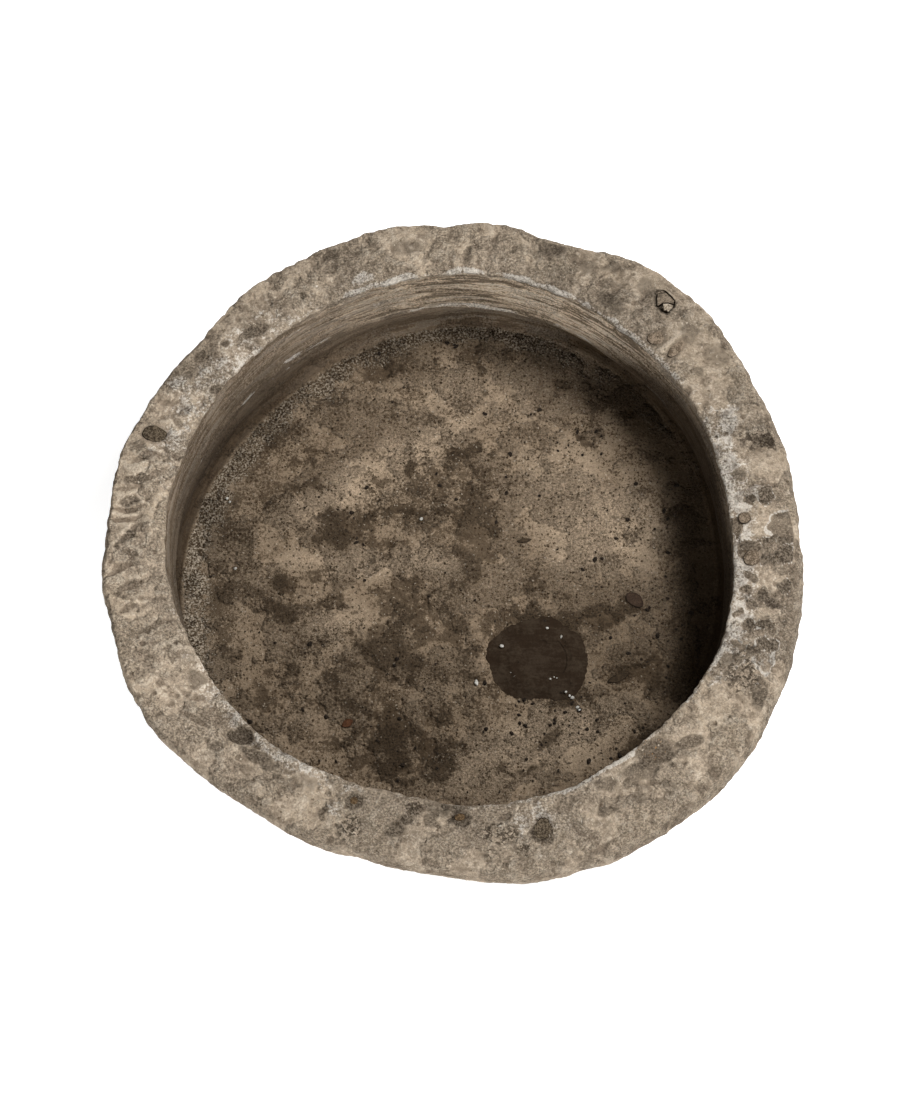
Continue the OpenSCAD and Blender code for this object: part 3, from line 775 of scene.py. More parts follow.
def skin_relief(block, rings, parts):
    """How far each point of the skin stands out of the plain skin along its normal.

    Over the shoulder the rim's relief turns evenly into the side's."""
    found = np.zeros(rings.shape[:2])
    faces = {
        "rim": lambda points: rim_relief(block, points) * chip_calm(block, points),
        "lip": lambda points: 0.7 * rim_relief(block, points),
        "wall": wall_relief,
        "side": lambda points: side_relief(block, points),
        "floor": floor_relief,
    }
    for part, relief in faces.items():
        if np.any(parts == part):
            found[parts == part] = relief(rings[parts == part])
    shoulder = rings[parts == "shoulder"]
    if len(shoulder):
        share = smooth(np.linspace(0, 1, len(shoulder)))[:, None]
        from_rim, from_side = rim_relief(block, shoulder), side_relief(block, shoulder)
        found[parts == "shoulder"] = (1 - share) * from_rim + share * from_side
    for _ in range(3):
        near = (np.roll(found, 1, axis=0) + 2 * found + np.roll(found, -1, axis=0)) / 4
        meeting = (parts != np.roll(parts, 1)) | (parts != np.roll(parts, -1)) | (parts == "lip")
        found = np.where(meeting[:, None], near, found)
    return found


def blurred(values, rounds):
    """The values averaged with their neighbours on the grid of rings, this many times over."""
    for _ in range(rounds):
        for axis in (0, 1):
            values = (np.roll(values, 1, axis) + 2 * values + np.roll(values, -1, axis)) / 4
    return values


def sharpness(relief):
    """How far the relief stands out from its near and from its wider neighbourhood."""
    return (relief - blurred(relief, 5)) / (0.4 * MM) + (relief - blurred(relief, 40)) / (0.8 * MM)


def rim_lime(block, points, patches):
    """Lime on the rim's face: a broken line along the lip, and broad pale places beside it."""
    angle, out = block.way_out(points)
    line = smooth(1.3 - np.abs(out / MM - 1.5 - 2 * noise(points, 16 * MM, 73)) / (1.5 + 3 * patches))
    line = line * (0.2 + 0.8 * np.maximum(sector(angle, 92, 80), sector(angle, -28, 75)))
    line = line * (0.45 + 0.55 * patches)
    right = smooth(1.5 - out / (24 * MM)) * sector(angle, -2, 42)
    left = smooth(1.4 - np.abs(out - 16 * MM) / (22 * MM)) * sector(angle, 146, 34) * 0.5
    front = smooth(1.2 - out / (26 * MM)) * sector(angle, 226, 36) * 0.55
    return np.maximum.reduce([line, 0.75 * right, left, front])


def ledge_highlight(block, points, patches):
    """A painted highlight in a broken line along the ledge of the wall."""
    angle, _ = block.way_out(points)
    above = (points[..., 2] - block.ledge_z) / MM - 3 - 3 * noise(points, 50 * MM, 74)
    line = smooth(1.3 - np.abs(above) / (1.5 + 2.5 * patches)) * (0.35 + 0.65 * patches)
    return line * np.maximum(0.8 * sector(angle, 132, 24), 0.9 * sector(angle, 68, 56))


def floor_edge(block, points, on_floor):
    """What lies on the floor by the wall: the crust, the band of specks inside it, and painted shade by the
    wall on the right, partly dirt, and at the back.
    """
    angle, out = block.way_out(points)
    from_wall = np.maximum(-out, 0) + 4 * MM * rough(points, 18 * MM, 3, 76)
    crust_width = 13 + 19 * sector(angle, 152, 74) + 7 * sector(angle, 60, 60)
    crust = smooth(1.7 - from_wall / (MM * crust_width)) * (0.3 + 0.7 * sector(angle, 130, 115))
    crust = on_floor * crust * smooth((from_wall / MM + 3) / 6)
    band = smooth(1.2 - np.abs(from_wall - MM * (crust_width + 14)) / (10 * MM)) * sector(angle, 165, 75)
    right = smooth(1.5 - from_wall / MM / (42 + 14 * sector(angle, -12, 40)))
    right = right * np.minimum(1, 1.6 * sector(angle, 12, 62))
    back = 0.7 * smooth(1.5 - from_wall / (40 * MM)) * sector(angle, 122, 66) * (1 - 0.2 * crust)
    return crust, band, np.maximum(right, back)


def wall_painted_shade(angle, depth):
    """Painted shade on the wall: deeper down, most on the right, and all along its foot."""
    shaded = smooth((depth - 0.5 * (1 - sector(angle, 8, 66))) / 0.4)
    shaded = shaded * np.minimum(1, 1.9 * sector(angle, 14, 74))
    return np.maximum(shaded, (0.62 - 0.3 * sector(angle, 88, 50)) * smooth((depth - 0.74) / 0.22))


def block_masks(block, points, parts, relief):
    """Soft masks from 0 to 1 that say where lime, stains, crust and dirt lie on the block, and where light
    and shade are painted on it.
    """
    angle, _ = block.way_out(points)
    is_part = {name: (parts == name)[:, None].astype(float) for name in ("floor", "wall", "rim")}
    rim = np.isin(parts, ("rim", "lip"))[:, None]
    side = np.isin(parts, ("side", "shoulder"))[:, None]
    bent = bend(points, 4 * MM, 20 * MM, 70)
    plan = bent[..., :2] - block.basin
    patches = smooth(0.55 + 1.3 * noise(points, 30 * MM, 72))
    marks = rim_marks(block, points, 0.28)
    lime = rim * np.maximum(rim_lime(block, points, patches), ovals(plan, LIME_SPOTS)) * (1 - marks)
    outline = rim * smooth(1 - np.abs(marks - 0.3) / 0.22) * sector(angle, -8, 32) * (0.4 + 0.6 * patches)
    crust, band, shade_and_dirt = floor_edge(block, points, is_part["floor"])
    # Wide places of painted shade, partly dirt, on the floor.
    shade_and_dirt = np.maximum(shade_and_dirt, ovals(plan, FLOOR_SHADE_AND_DIRT, 0.95))
    depth = np.clip((block.s.body_h - points[..., 2]) / block.s.basin_d, 0, 1)
    flat = points[..., :2]
    deep = is_part["rim"] * block.sunk(flat, block.rim_share(flat)) / block.s.rim_hollow_d
    sharp = sharpness(relief) * (rim | side) - 1.3 * deep
    return {
        # Lime on the rim, and on the wall a painted highlight along the ledge.
        "lime": np.maximum(lime, is_part["wall"] * ledge_highlight(block, points, patches)),
        "outline": outline,
        "marks": rim * marks,
        # Painted shade in the hollows of the relief, in the main hollows and round the pebbles.
        "hollow": np.maximum(-0.5 * sharp, 0.8 * rim * pebble_seats(block, points, 1.25, 0.25)),
        "crest": 0.5 * sharp,
        "worms": rim * ovals(bent, rim_places(block, RIM_WORMS), 0.6),
        "stain": is_part["floor"] * ovals(plan, FLOOR_STAINS, 0.75),
        # Painted shade on the floor by the walls and in wide places, partly dirt, and painted shade on the
        # wall.
        "shade_and_dirt": is_part["floor"] * shade_and_dirt + is_part["wall"] * wall_painted_shade(angle, depth),
        "clean": is_part["floor"] * ovals(plan, FLOOR_CLEAN, 0.8),
        "speckled": is_part["floor"] * np.maximum(ovals(plan, FLOOR_DIRT, 0.8), band),
        "crust": crust,
        "depth": depth,
        # Darker wall on the left; on the right, painted shade.
        "dirt": is_part["wall"] * (sector(angle, 172, 92) + 0.6 * sector(angle, 10, 50)),
        # Painted light and shade: brighter on the rim's left, the back of the wall and the side, darker on
        # the rim's back right.
        "lit": rim * (0.4 + 0.6 * sector(angle, 190, 52) - 0.75 * sector(angle, 45, 38))
        + is_part["wall"] * (sector(angle, 86, 62) + smooth(1.4 - depth / 0.4) * sector(angle, 140, 70))
        + side * 0.4,
        "rust": rim * ovals(plan, (RUSTY_HOLLOW,)),
        "wall": is_part["wall"],
        "floor": is_part["floor"],
    }


def weathered(block, rings, parts):
    """The plain skin moved by its relief, and its masks.

    The rim opens under the chip, the floor stays flat under the mortar, and nothing goes below ground."""
    relief = skin_relief(block, rings, parts)
    masks = block_masks(block, rings, parts, relief)
    face = np.isin(parts, ("rim", "lip"))[:, None]
    chip = block.chip_place()
    chip_depth = depth_inside(rings[..., 0] - chip[0], rings[..., 1] - chip[1], POCKET)
    sunk = POCKET_DEPTH * smooth((chip_depth / MM + 1) / 2.5) + POCKET_DIP * smooth((chip_depth / MM + 7) / 3)
    relief = relief - MM * sunk * face
    bed = ((*(block.drain / MM), *MORTAR_BED, 0, 1),)
    under_mortar = (parts == "floor")[:, None] * ovals(rings, bed, 0.15)
    moved = rings + ring_normals(rings) * (relief * (1 - under_mortar))[..., None]
    for centre, growth in ((block.middle, edge_growth), (block.basin, mouth_growth)):
        outward = moved[..., :2] - centre
        outward = outward / np.linalg.norm(outward, axis=-1, keepdims=True)
        moved[..., :2] += outward * growth(block, rings, parts)[..., None]
    moved[..., 2] = np.maximum(moved[..., 2], 0)
    return moved, masks


# Meshes


def new_piece(name, points, faces):
    """A smooth-shaded object of these points and faces, in the scene."""
    mesh = bpy.data.meshes.new(name)
    mesh.from_pydata(points, [], faces)
    mesh.shade_smooth()
    mesh.update()
    piece = bpy.data.objects.new(name, mesh)
    bpy.context.scene.collection.objects.link(piece)
    return piece


def mesh_from_grid(name, rings, closed=False, masks=None):
    """A closed mesh from a grid of rings, with its masks as values on the points.

    Where closed is true the last ring joins the first. Otherwise the first and last rings are each
    closed by a fan to the point at their mean."""
    count, columns = rings.shape[:2]
    index = np.arange(count * columns).reshape(count, columns)
    after = np.roll(index, -1, axis=1)
    lower, lower_after = (index, after) if closed else (index[:-1], after[:-1])
    upper, upper_after = np.roll(index, -1, axis=0), np.roll(after, -1, axis=0)
    upper, upper_after = upper[: len(lower)], upper_after[: len(lower)]
    quads = np.stack([lower, lower_after, upper_after, upper], axis=-1).reshape(-1, 4)
    points = rings.reshape(-1, 3)
    faces = quads.tolist()
    if not closed:
        start, end = len(points), len(points) + 1
        points = np.concatenate([points, [rings[0].mean(axis=0)], [rings[-1].mean(axis=0)]])
        first, last = index[0], index[-1]
        faces += np.stack([np.roll(first, -1), first, np.full(columns, start)], axis=-1).tolist()
        faces += np.stack([last, np.roll(last, -1), np.full(columns, end)], axis=-1).tolist()
    piece = new_piece(name, points.tolist(), faces)
    for label, values in (masks or {}).items():
        flat = np.zeros(len(points), np.float32)
        flat[: count * columns] = np.broadcast_to(np.clip(values, 0, 1), (count, columns)).reshape(-1)
        piece.data.attributes.new(label, "FLOAT", "POINT").data.foreach_set("value", flat)
    return piece


def place(piece, material, slot, *nodes):
    """Gives a piece its material, and lets it ride on the block and stand for its nodes. The slot is not
    used.
    """
    piece.data.materials.append(material)
    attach(piece, "root")
    if nodes:
        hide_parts(*nodes)


# Materials


def feed(tree, node, inputs):
    """Links each output given for an input of the node, or sets that input's own value."""
    for name, value in inputs.items():
        socket = node.inputs[name]
        if isinstance(value, bpy.types.NodeSocket):
            tree.links.new(value, socket)
        elif isinstance(value, (int, float)):
            socket.default_value = value
        else:
            socket.default_value = (*value[:3], 1) if len(socket.default_value) == 4 else value


def add_node(tree, kind, inputs=None, **settings):
    """Adds a shader node with these settings and inputs, and gives back its outputs."""
    made = tree.nodes.new("ShaderNode" + kind)
    for name, value in settings.items():
        setattr(made, name, value)
    feed(tree, made, inputs or {})
    return made.outputs


class Finish:
    """A material while it is made: each method adds a node and gives back its output."""

    def __init__(self, name, roughness, specular):
        self.material = bpy.data.materials.new(name)
        self.material.use_nodes = True
        self.tree = self.material.node_tree
        self.tree.nodes.clear()
        self.surface = self.tree.nodes.new("ShaderNodeBsdfPrincipled")
        feed(self.tree, self.surface, {"Roughness": roughness, "Specular IOR Level": specular})
        self.node("OutputMaterial", {0: self.surface.outputs[0]})
        self.place = self.node("TexCoord")["Object"]

    def node(self, kind, inputs=None, **settings):
        """Adds a node of a kind, fed with these inputs, and gives back its outputs."""
        return add_node(self.tree, kind, inputs, **settings)

    def math(self, operation, first, second=0.0):
        """One sum done on one or two values."""
        return self.node("Math", {0: first, 1: second}, operation=operation)[0]

    def times(self, first, second):
        """Two values multiplied."""
        return self.math("MULTIPLY", first, second)

    def total(self, *weighted):
        """Sum of values times their weights."""
        found = None
        for value, weight in weighted:
            part = self.times(value, weight)
            found = part if found is None else self.math("ADD", found, part)
        return found

    def off_half(self, value):
        """How far a value is from a half: least along the middle lines of a noise."""
        return self.math("ABSOLUTE", self.math("SUBTRACT", value, 0.5))

    def spread(self, value, low, high):
        """0 at low, 1 at high, and smooth between."""
        inputs = {"Value": value, "From Min": low, "From Max": high}
        return self.node("MapRange", inputs, interpolation_type="SMOOTHSTEP")["Result"]

    def patchy(self, mask, weight, low, high, *noises):
        """A mask broken up by noises: their swing about their mean is added before the spread."""
        swing = sum(-0.5 * amount for _, amount in noises)
        value = self.total((mask, weight), *noises)
        return self.spread(self.math("ADD", value, swing), low, high)

    def moved(self, offset=(0, 0, 0), scale=(1, 1, 1)):
        """Object coordinates stretched by a scale and then moved by an offset in metres."""
        return self.node("Mapping", {"Vector": self.place, "Scale": scale, "Location": offset})[0]

    def noise(self, size, detail=4, roughness=0.6, place=None, distortion=0.0):
        """Noise from 0 to 1 with features about this many millimetres across."""
        inputs = {
            "Vector": self.place if place is None else place, "Scale": 1 / (size * MM),
            "Detail": detail, "Roughness": roughness, "Distortion": distortion,
        }
        return self.node("TexNoise", inputs)[0]

    def shaken(self, place, size):
        """Coordinates pushed about by noise, so that what is laid out on them loses its round outline."""
        wander = self.node("TexNoise", {"Vector": place, "Scale": 2.2 / (size * MM), "Detail": 1})["Color"]
        inputs = {0: wander, 1: (size * MM,) * 3, 2: place}
        return self.node("VectorMath", inputs, operation="MULTIPLY_ADD")[0]

    def dots(self, spacing, radius, share, place=None):
        """Scattered dots: one in each cell of this many millimetres, shown in a share of the cells."""
        shaken = self.shaken(self.place if place is None else place, spacing)
        cells = self.node("TexVoronoi", {"Vector": shaken, "Scale": 1 / (spacing * MM)})
        chance, size, _ = self.node("SeparateColor", {0: cells["Color"]})
        reach = radius / spacing
        size = self.math("ADD", self.times(size, reach), reach * 0.5)
        near = self.math("DIVIDE", cells["Distance"], size)
        return self.times(self.spread(near, 1.1, 0.7), self.spread(chance, share + 0.01, share - 0.01))

    def mask(self, name):
        """A mask of the mesh's own, by its name."""
        return self.node("Attribute", attribute_name=name)["Fac"]

    def mix(self, share, first, second, strength=1.0):
        """The first colour turned into the second by a share."""
        share = share if strength == 1.0 else self.times(share, strength)
        return self.node("Mix", {0: share, 6: first, 7: second}, data_type="RGBA")[2]

    def layers(self, tint, *rows):
        """A colour with others laid over it in turn: each row has its mask, its colour and its strength."""
        for row in rows:
            tint = self.mix(row[0], tint, *row[1:])
        return tint

    def ramp(self, value, *stops):
        """Colours at places along value, and evenly mixed between."""
        made = self.tree.nodes.new("ShaderNodeValToRGB")
        points = made.color_ramp.elements
        while len(points) < len(stops):
            points.new(0.5)
        for point, (where, tint) in zip(points, stops):
            point.position = where
            point.color = (*tint[:3], 1)
        feed(self.tree, made, {0: value})
        return made.outputs[0]

    def dim(self, tint, amount):
        """A plain colour made darker."""
        return tuple(part * amount for part in tint[:3])

    def scaled(self, tint, amount):
        """A colour times a number."""
        return self.node("VectorMath", {0: tint, "Scale": amount}, operation="SCALE")[0]

    def bump(self, height, distance):
        """Raises the surface by height times this many millimetres, over what was raised before."""
        inputs = {"Strength": 1.0, "Distance": distance * MM, "Height": height}
        before = self.surface.inputs["Normal"].links
        if before:
            inputs["Normal"] = before[0].from_socket
        feed(self.tree, self.surface, {"Normal": self.node("Bump", inputs)[0]})

    def paint(self, tint):
        """Gives the surface its colour: the material is then complete."""
        feed(self.tree, self.surface, {"Base Color": tint})
        return self.material


# Plain colours of small things: crumbs of peat on the floor, and the dust on the stopper and the mortar.
PEAT = (0.012, 0.009, 0.006)
STOPPER_DUST = (0.042, 0.03, 0.02)
MORTAR_DUST = (0.045, 0.033, 0.022)
# Stones in two tones: dark tone, pale tone, size of the mottles in millimetres and strength of the relief.
STONES = {
    "chip_stone": ((0.085, 0.066, 0.047), (0.2, 0.158, 0.115), 5.0, 1.0),
    "pale_stone": ((0.15, 0.12, 0.085), (0.42, 0.35, 0.27), 4.0, 1.0),
    "dark_pebble": ((0.05, 0.037, 0.025), (0.22, 0.168, 0.112), 3.0, 1.5),
    "brown_pebble": ((0.085, 0.062, 0.042), (0.22, 0.17, 0.122), 5.0, 1.0),
    "rusty_pebble": ((0.06, 0.038, 0.02), (0.18, 0.115, 0.06), 3.0, 1.3),
    "dark_grit": ((0.012, 0.009, 0.007), (0.05, 0.036, 0.025), 1.5, 1.0),
    "white_grain": ((0.8, 0.76, 0.68), (0.92, 0.9, 0.84), 1.2, 1.0),
}


def rim_tint(f, c, fields):
    """Weathered stone of the rim and the side: mottles, lime, worn stones, curls, painted shade in the
    hollows, grains, and painted light and shade.
    """
    large, medium, small, fine, other = fields
    tone = f.total((large, 0.2), (medium, 0.42), (small, 0.38))
    dull = f.dim(c.rim_mid, 0.78)
    tint = f.ramp(tone, (0.36, c.rim_dark), (0.45, dull), (0.53, c.rim_mid), (0.66, c.rim_pale))
    warm = f.spread(f.total((large, 0.5), (other, 0.5)), 0.46, 0.58)
    flat = f.spread(f.total((other, 0.55), (medium, 0.45)), 0.525, 0.565)
    lime = f.patchy(f.mask("lime"), 0.75, 0.3, 0.6, (medium, 1.5), (small, 1.2), (fine, 0.5))
    curl = f.spread(f.off_half(f.noise(7, 3, 0.6, f.moved((3, 1, 0)), 1.0)), 0.018, 0.004)
    crack = f.spread(f.off_half(f.noise(16, 6, 0.65, f.moved((0, 6, 1)), 0.6)), 0.014, 0.003)
    # Painted shade in the hollows and round the pebbles.
    painted_shade = f.patchy(f.mask("hollow"), 1.0, 0.1, 0.95, (medium, 0.6), (small, 0.5))
    crest = f.patchy(f.mask("crest"), 1.0, 0.2, 0.9, (small, 0.5), (fine, 0.2))
    mark = f.patchy(f.mask("marks"), 1.0, 0.2, 0.62, (other, 0.9), (small, 1.2), (fine, 0.3))
    grain = f.total((small, 0.6), (fine, 0.4))
    worn = f.ramp(grain, (0.42, f.dim(c.rim_dark, 0.5)), (0.6, f.dim(c.rim_mid, 0.56)))
    line = f.patchy(f.mask("outline"), 0.95, 0.34, 0.56, (other, 1.2), (small, 1.0))
    eaten = f.spread(f.noise(4.2, 2, 0.5, f.moved((2, 0, 5)), 0.9), 0.5, 0.45)
    worm = f.patchy(f.mask("worms"), 1.0, 0.12, 0.5, (other, 1.2), (small, 1.0))
    tint = f.layers(
        tint,
        (warm, c.rim_warm, 0.35),
        (flat, f.dim(c.rim_mid, 0.5), 0.5),
        (lime, c.lime, 0.8),
        (f.times(curl, f.spread(other, 0.47, 0.56)), c.rim_pale, 0.75),
        (f.times(crack, f.spread(medium, 0.53, 0.45)), c.rim_dark, 0.7),
        (painted_shade, c.rim_dark, 0.6),
        (crest, c.rim_pale, 0.42),
        (mark, worn, 0.88),
        (f.spread(f.mask("marks"), 0.84, 1.0), f.dim(c.rim_dark, 0.45), 0.32),
        (line, c.lime, 0.7),
        (f.times(eaten, worm), f.dim(c.rim_dark, 0.38), 0.85),
        (f.times(f.mask("rust"), f.dots(3.4, 0.8, 0.4)), c.rust),
        (f.dots(6.5, 1.1, 0.3, f.moved((1, 0, 2))), c.wall_dark, 0.7),
        (f.dots(5.2, 0.8, 0.35, f.moved((0, 2, 1))), c.rim_pale, 0.8),
    )
    # Painted light and shade: brighter on the left and on the side, darker at the back right.
    return f.scaled(tint, f.total((f.mask("lit"), 0.38), (0.84, 1.0)))


def strata(f):
    """Noise drawn out along the level beds of the stone."""
    return f.noise(52, 6, 0.7, f.moved((0, 0, 1), (1, 1, 10)), 0.25)


def wall_tint(f, c, fields):
    """The basin's wall: level strata, darker towards the floor and on the left, painted shade on the right
    and along the foot, a painted highlight in a broken line along the ledge, and painted light.
    """
    _, medium, small, fine, _ = fields
    bed = f.noise(70, 7, 0.66, f.moved(scale=(1, 1, 9)), 0.3)
    thin = strata(f)
    layer = f.total((bed, 0.35), (thin, 0.52), (small, 0.13))
    dark, dull = f.dim(c.wall_mid, 0.32), f.dim(c.wall_mid, 0.62)
    lower = f.patchy(f.mask("depth"), 1.0, 0.48, 0.92, (bed, 1.2), (thin, 1.6), (small, 0.6))
    tint = f.layers(
        f.ramp(layer, (0.462, dark), (0.485, dull), (0.507, c.wall_mid), (0.533, c.rim_pale)),
        (lower, c.wall_dark, 0.69),
        # Darker on the left of the wall, and painted shade on its right.
        (f.patchy(f.mask("dirt"), 0.6, 0.1, 0.64, (bed, 1.2), (thin, 2.4)), c.wall_dark, 0.66),
        # A painted highlight in a broken line along the ledge.
        (f.patchy(f.mask("lime"), 0.85, 0.3, 0.6, (thin, 1.6), (medium, 1.6), (fine, 0.3)), c.lime, 0.8),
        # Painted shade on the wall, most on the right and along its foot.
        (f.mask("shade_and_dirt"), c.murk_and_shade, 0.9),
    )
    # Painted light: the back of the wall and its upper back left brighter.
    return f.scaled(tint, f.total((f.mask("lit"), 0.5), (1.0, 1.0)))


def floor_tint(f, c, fields):
    """The floor: silt with thin dirt, stains that break up into specks, the crust by the wall, grit, and
    painted shade by the walls, partly dirt.
    """
    large, medium, small, fine, other = fields
    blot = f.noise(30, 10, 0.72, f.moved((5, 5, 0)))
    fleck = f.noise(3.2, 4, 0.8, f.moved((0, 4, 2)))
    clean, stained = f.mask("clean"), f.mask("stain")
    shade = f.total((large, 0.45), (medium, 0.55))
    tint = f.ramp(shade, (0.4, f.dim(c.silt, 0.76)), (0.5, f.dim(c.silt, 0.9)), (0.6, c.silt))
    dirt = f.math("SUBTRACT", 0.42, f.times(clean, 0.7))
    grains = f.noise(1.9, 2, 0.6, distortion=0.3)
    net = f.ramp(grains, (0.45, c.stain), (0.52, f.dim(c.crust, 0.7)), (0.63, f.dim(c.rim_pale, 0.85)))
    specks = f.patchy(f.mask("speckled"), 0.6, 0.28, 0.52, (blot, 3.2), (fleck, 2.8), (fine, 1.5))
    return f.layers(
        f.scaled(tint, f.total((clean, 0.32), (0.94, 1.0))),
        (f.patchy(dirt, 1.0, -0.05, 0.7, (blot, 2.3), (fleck, 2.4), (fine, 1.4)), c.silt_dark, 0.62),
        (stained, c.silt_dark, 0.4),
        (f.patchy(stained, 0.8, 0.38, 0.55, (blot, 3.2), (small, 0.8)), c.stain, 0.7),
        (specks, c.stain, 0.72),
        (f.patchy(0.1, 1.0, 0.4, 0.5, (other, 2.2), (fleck, 2.2), (fine, 2.2)), c.stain, 0.8),
        (f.dots(3.3, 1.05, 0.42, f.moved((2, 2, 0))), c.murk_and_shade, 0.85),
        (f.dots(3.1, 0.7, 0.22, f.moved((7, 1, 0))), c.rim_pale, 0.5),
        (f.patchy(f.mask("crust"), 0.9, 0.34, 0.7, (blot, 2.6), (fleck, 1.6)), net, 0.92),
        (f.dots(8, 1.0, 0.6, f.moved((1, 9, 0))), PEAT, 0.92),
        # Painted shade, partly dirt, by the walls and in wide places of the floor.
        (f.mask("shade_and_dirt"), c.murk_and_shade, 0.86),
    )


def stone_finish(c):
    """Weathered stone: rim, wall and floor, each with its own marks, and one relief of pits and grains."""
    f = Finish("weathered_stone", roughness=0.95, specular=0.06)
    large, medium = f.noise(75, 5, 0.6), f.noise(17, 8, 0.7)
    small, fine = f.noise(4.2, 5, 0.72), f.noise(2.1, 2, 0.75)
    other = f.noise(30, 8, 0.68, f.moved((4, 2, 1)))
    fields = (large, medium, small, fine, other)
    wall, floor = f.spread(f.mask("wall"), 0, 0.5), f.spread(f.mask("floor"), 0, 0.5)
    tint = f.mix(wall, rim_tint(f, c, fields), wall_tint(f, c, fields))
    tint = f.mix(floor, tint, floor_tint(f, c, fields))
    busy = f.spread(f.noise(46, 4, 0.6, f.moved((8, 3, 2))), 0.44, 0.56)
    rugged = f.total((busy, 0.8), (0.35, 1.0), (wall, -0.35), (floor, -0.3))
    f.bump(f.times(medium, rugged), 7.0)
    f.bump(f.times(small, f.total((busy, 0.8), (0.3, 1.0), (wall, -0.15))), 2.8)
    f.bump(f.times(strata(f), wall), 7.0)
    f.bump(fine, 1.0)
    grain = f.math("SUBTRACT", f.spread(fine, 0.3, 0.7), 0.5)
    grain = f.times(grain, f.total((busy, 0.5), (0.34, 1.0), (floor, 0.25)))
    return f.paint(f.scaled(tint, f.math("ADD", grain, 0.985)))


def plain_stone(name, dark, pale, size, relief):
    """Matt stone in two tones with fine pits, for the pebbles, the chip and what lies on the floor."""
    f = Finish(name, roughness=0.92, specular=0.08)
    medium, small = f.noise(size, 6, 0.65), f.noise(size / 4, 5, 0.7)
    tint = f.mix(f.spread(f.total((medium, 0.6), (small, 0.4)), 0.45, 0.57), dark, pale)
    # The joint darkens the edge: painted shade in the gap round a pebble, and a darker rim on a leaf.
    tint = f.mix(f.mask("joint"), tint, f.dim(dark, 0.15), 0.92)
    pit = f.dots(2.4, 0.6, 0.4)
    f.bump(medium, 1.6 * relief)
    f.bump(small, 0.7 * relief)
    return f.paint(f.mix(pit, tint, f.dim(dark, 0.3), 0.7))


def smear_finish(name, tint, dust):
    """Dark smeared mortar or blackened wood, with pale dust in places and fine scratches."""
    f = Finish(name, roughness=0.9, specular=0.07)
    cloud, small, grain = f.noise(24, 6, 0.6), f.noise(3, 5, 0.7), f.noise(1.2, 2, 0.6)
    scratch = f.noise(15, 6, 0.65, f.moved(scale=(1, 4, 1)), 0.5)
    dusty = f.total((cloud, 0.45), (scratch, 0.3), (small, 0.25))
    made = f.mix(f.spread(dusty, 0.45, 0.58), tint, dust, 0.5)
    made = f.mix(f.dots(6, 0.7, 0.3), made, f.dim(tint, 0.3))
    f.bump(scratch, 1.0)
    f.bump(small, 0.7)
    return f.paint(f.scaled(made, f.total((grain, 0.8), (0.6, 1.0))))


# The block and its pieces

# Radii of the stopper's shank and of its head's worn edge.
SHANK_R = 22 * MM
STOPPER_EDGE_R = 2.2 * MM
# How far the mortar laps onto the head, in millimetres, and where it doesn't: direction and half width.
MORTAR_LAP = 8.5
HEAD_SHOWS = (8, 62)
# Flakes of the chip: name, outline, height over the rim's face and depth in millimetres, tilt, seed, slot
# of the record, and the solid that the piece stands for.
FLAKES = (
    ("rim_chip_flake", CHIP, 0, 6, (-0.02, -0.03), 91, "chip_stone", "rim_chip"),
    ("rim_chip_splinter", SPLINTER, 0.7, 6, (0.05, 0.03), 95, "pale_stone", "rim_chip_sliver"),
    ("pocket_step", STEP, -1.6, 5, (0, 0), 97, "chip_stone"),
)
# Points round each turned piece.
STOPPER_COLUMNS = 180
MORTAR_COLUMNS = 480
PEBBLE_COLUMNS = 96
LEAF_COLUMNS = 64


class TROUGH_OT_block(bpy.types.Operator):
    """Build the hewn block: its rim, and its basin, outside and drain hole"""

    bl_idname = "trough.block"
    bl_label = "Hewn block"

    def execute(self, context):
        """Two closed skins that share one stone: the body, and the finer rim let into its top."""
        sizes = context.scene.trough_sizes
        block = Block(sizes)
        finish = stone_finish(context.scene.trough_colours)
        for name, (rings, parts) in (
            ("stone_block", body_rings(block, sizes.body_columns)),
            ("stone_rim", rim_rings(block, sizes.rim_columns)),
        ):
            moved, masks = weathered(block, rings, parts)
            place(mesh_from_grid(name, moved, closed=True, masks=masks), finish, "hewn_stone", "stone_body")
        return {"FINISHED"}


class TROUGH_OT_stopper(bpy.types.Operator):
    """Build the drain hole's turned stopper"""

    bl_idname = "trough.stopper"
    bl_label = "Drain stopper"

    def execute(self, context):
        """A profile of radius and height turned about the hole's middle, its top worn uneven."""
        block = Block(context.scene.trough_sizes)
        low, high = block.stopper
        head_r, floor_z = block.head_r, block.floor_z
        turn = np.radians([0, 30, 60, 90])
        radius = np.concatenate([
            SHANK_R * np.linspace(0.15, 0.86, 5), [SHANK_R, SHANK_R, SHANK_R, head_r - 1 * MM, head_r],
            head_r - STOPPER_EDGE_R * (1 - np.cos(turn)), head_r * np.linspace(0.88, 0.02, 22),
        ])
        height = np.concatenate([
            np.full(5, low.z), [low.z + 3 * MM, floor_z - 1 * MM, floor_z, floor_z, floor_z + 0.4 * MM],
            high.z - STOPPER_EDGE_R * (1 - np.sin(turn)), np.full(22, high.z),
        ])
        rings = with_z(block.drain + radius[:, None, None] * ray(around(STOPPER_COLUMNS)), height[:, None])
        worn = smooth((rings[..., 2] - floor_z) / (2 * MM))
        rings[..., 2] += worn * MM * (0.4 * rough(rings, 18 * MM, 3, 71) - 0.4)
        tint = np.array(context.scene.trough_colours.mortar) * 0.95
        finish = smear_finish("blackened_wood", tint, STOPPER_DUST)
        place(mesh_from_grid("stopper", rings), finish, "dark_wood", "drain_stopper")
        return {"FINISHED"}


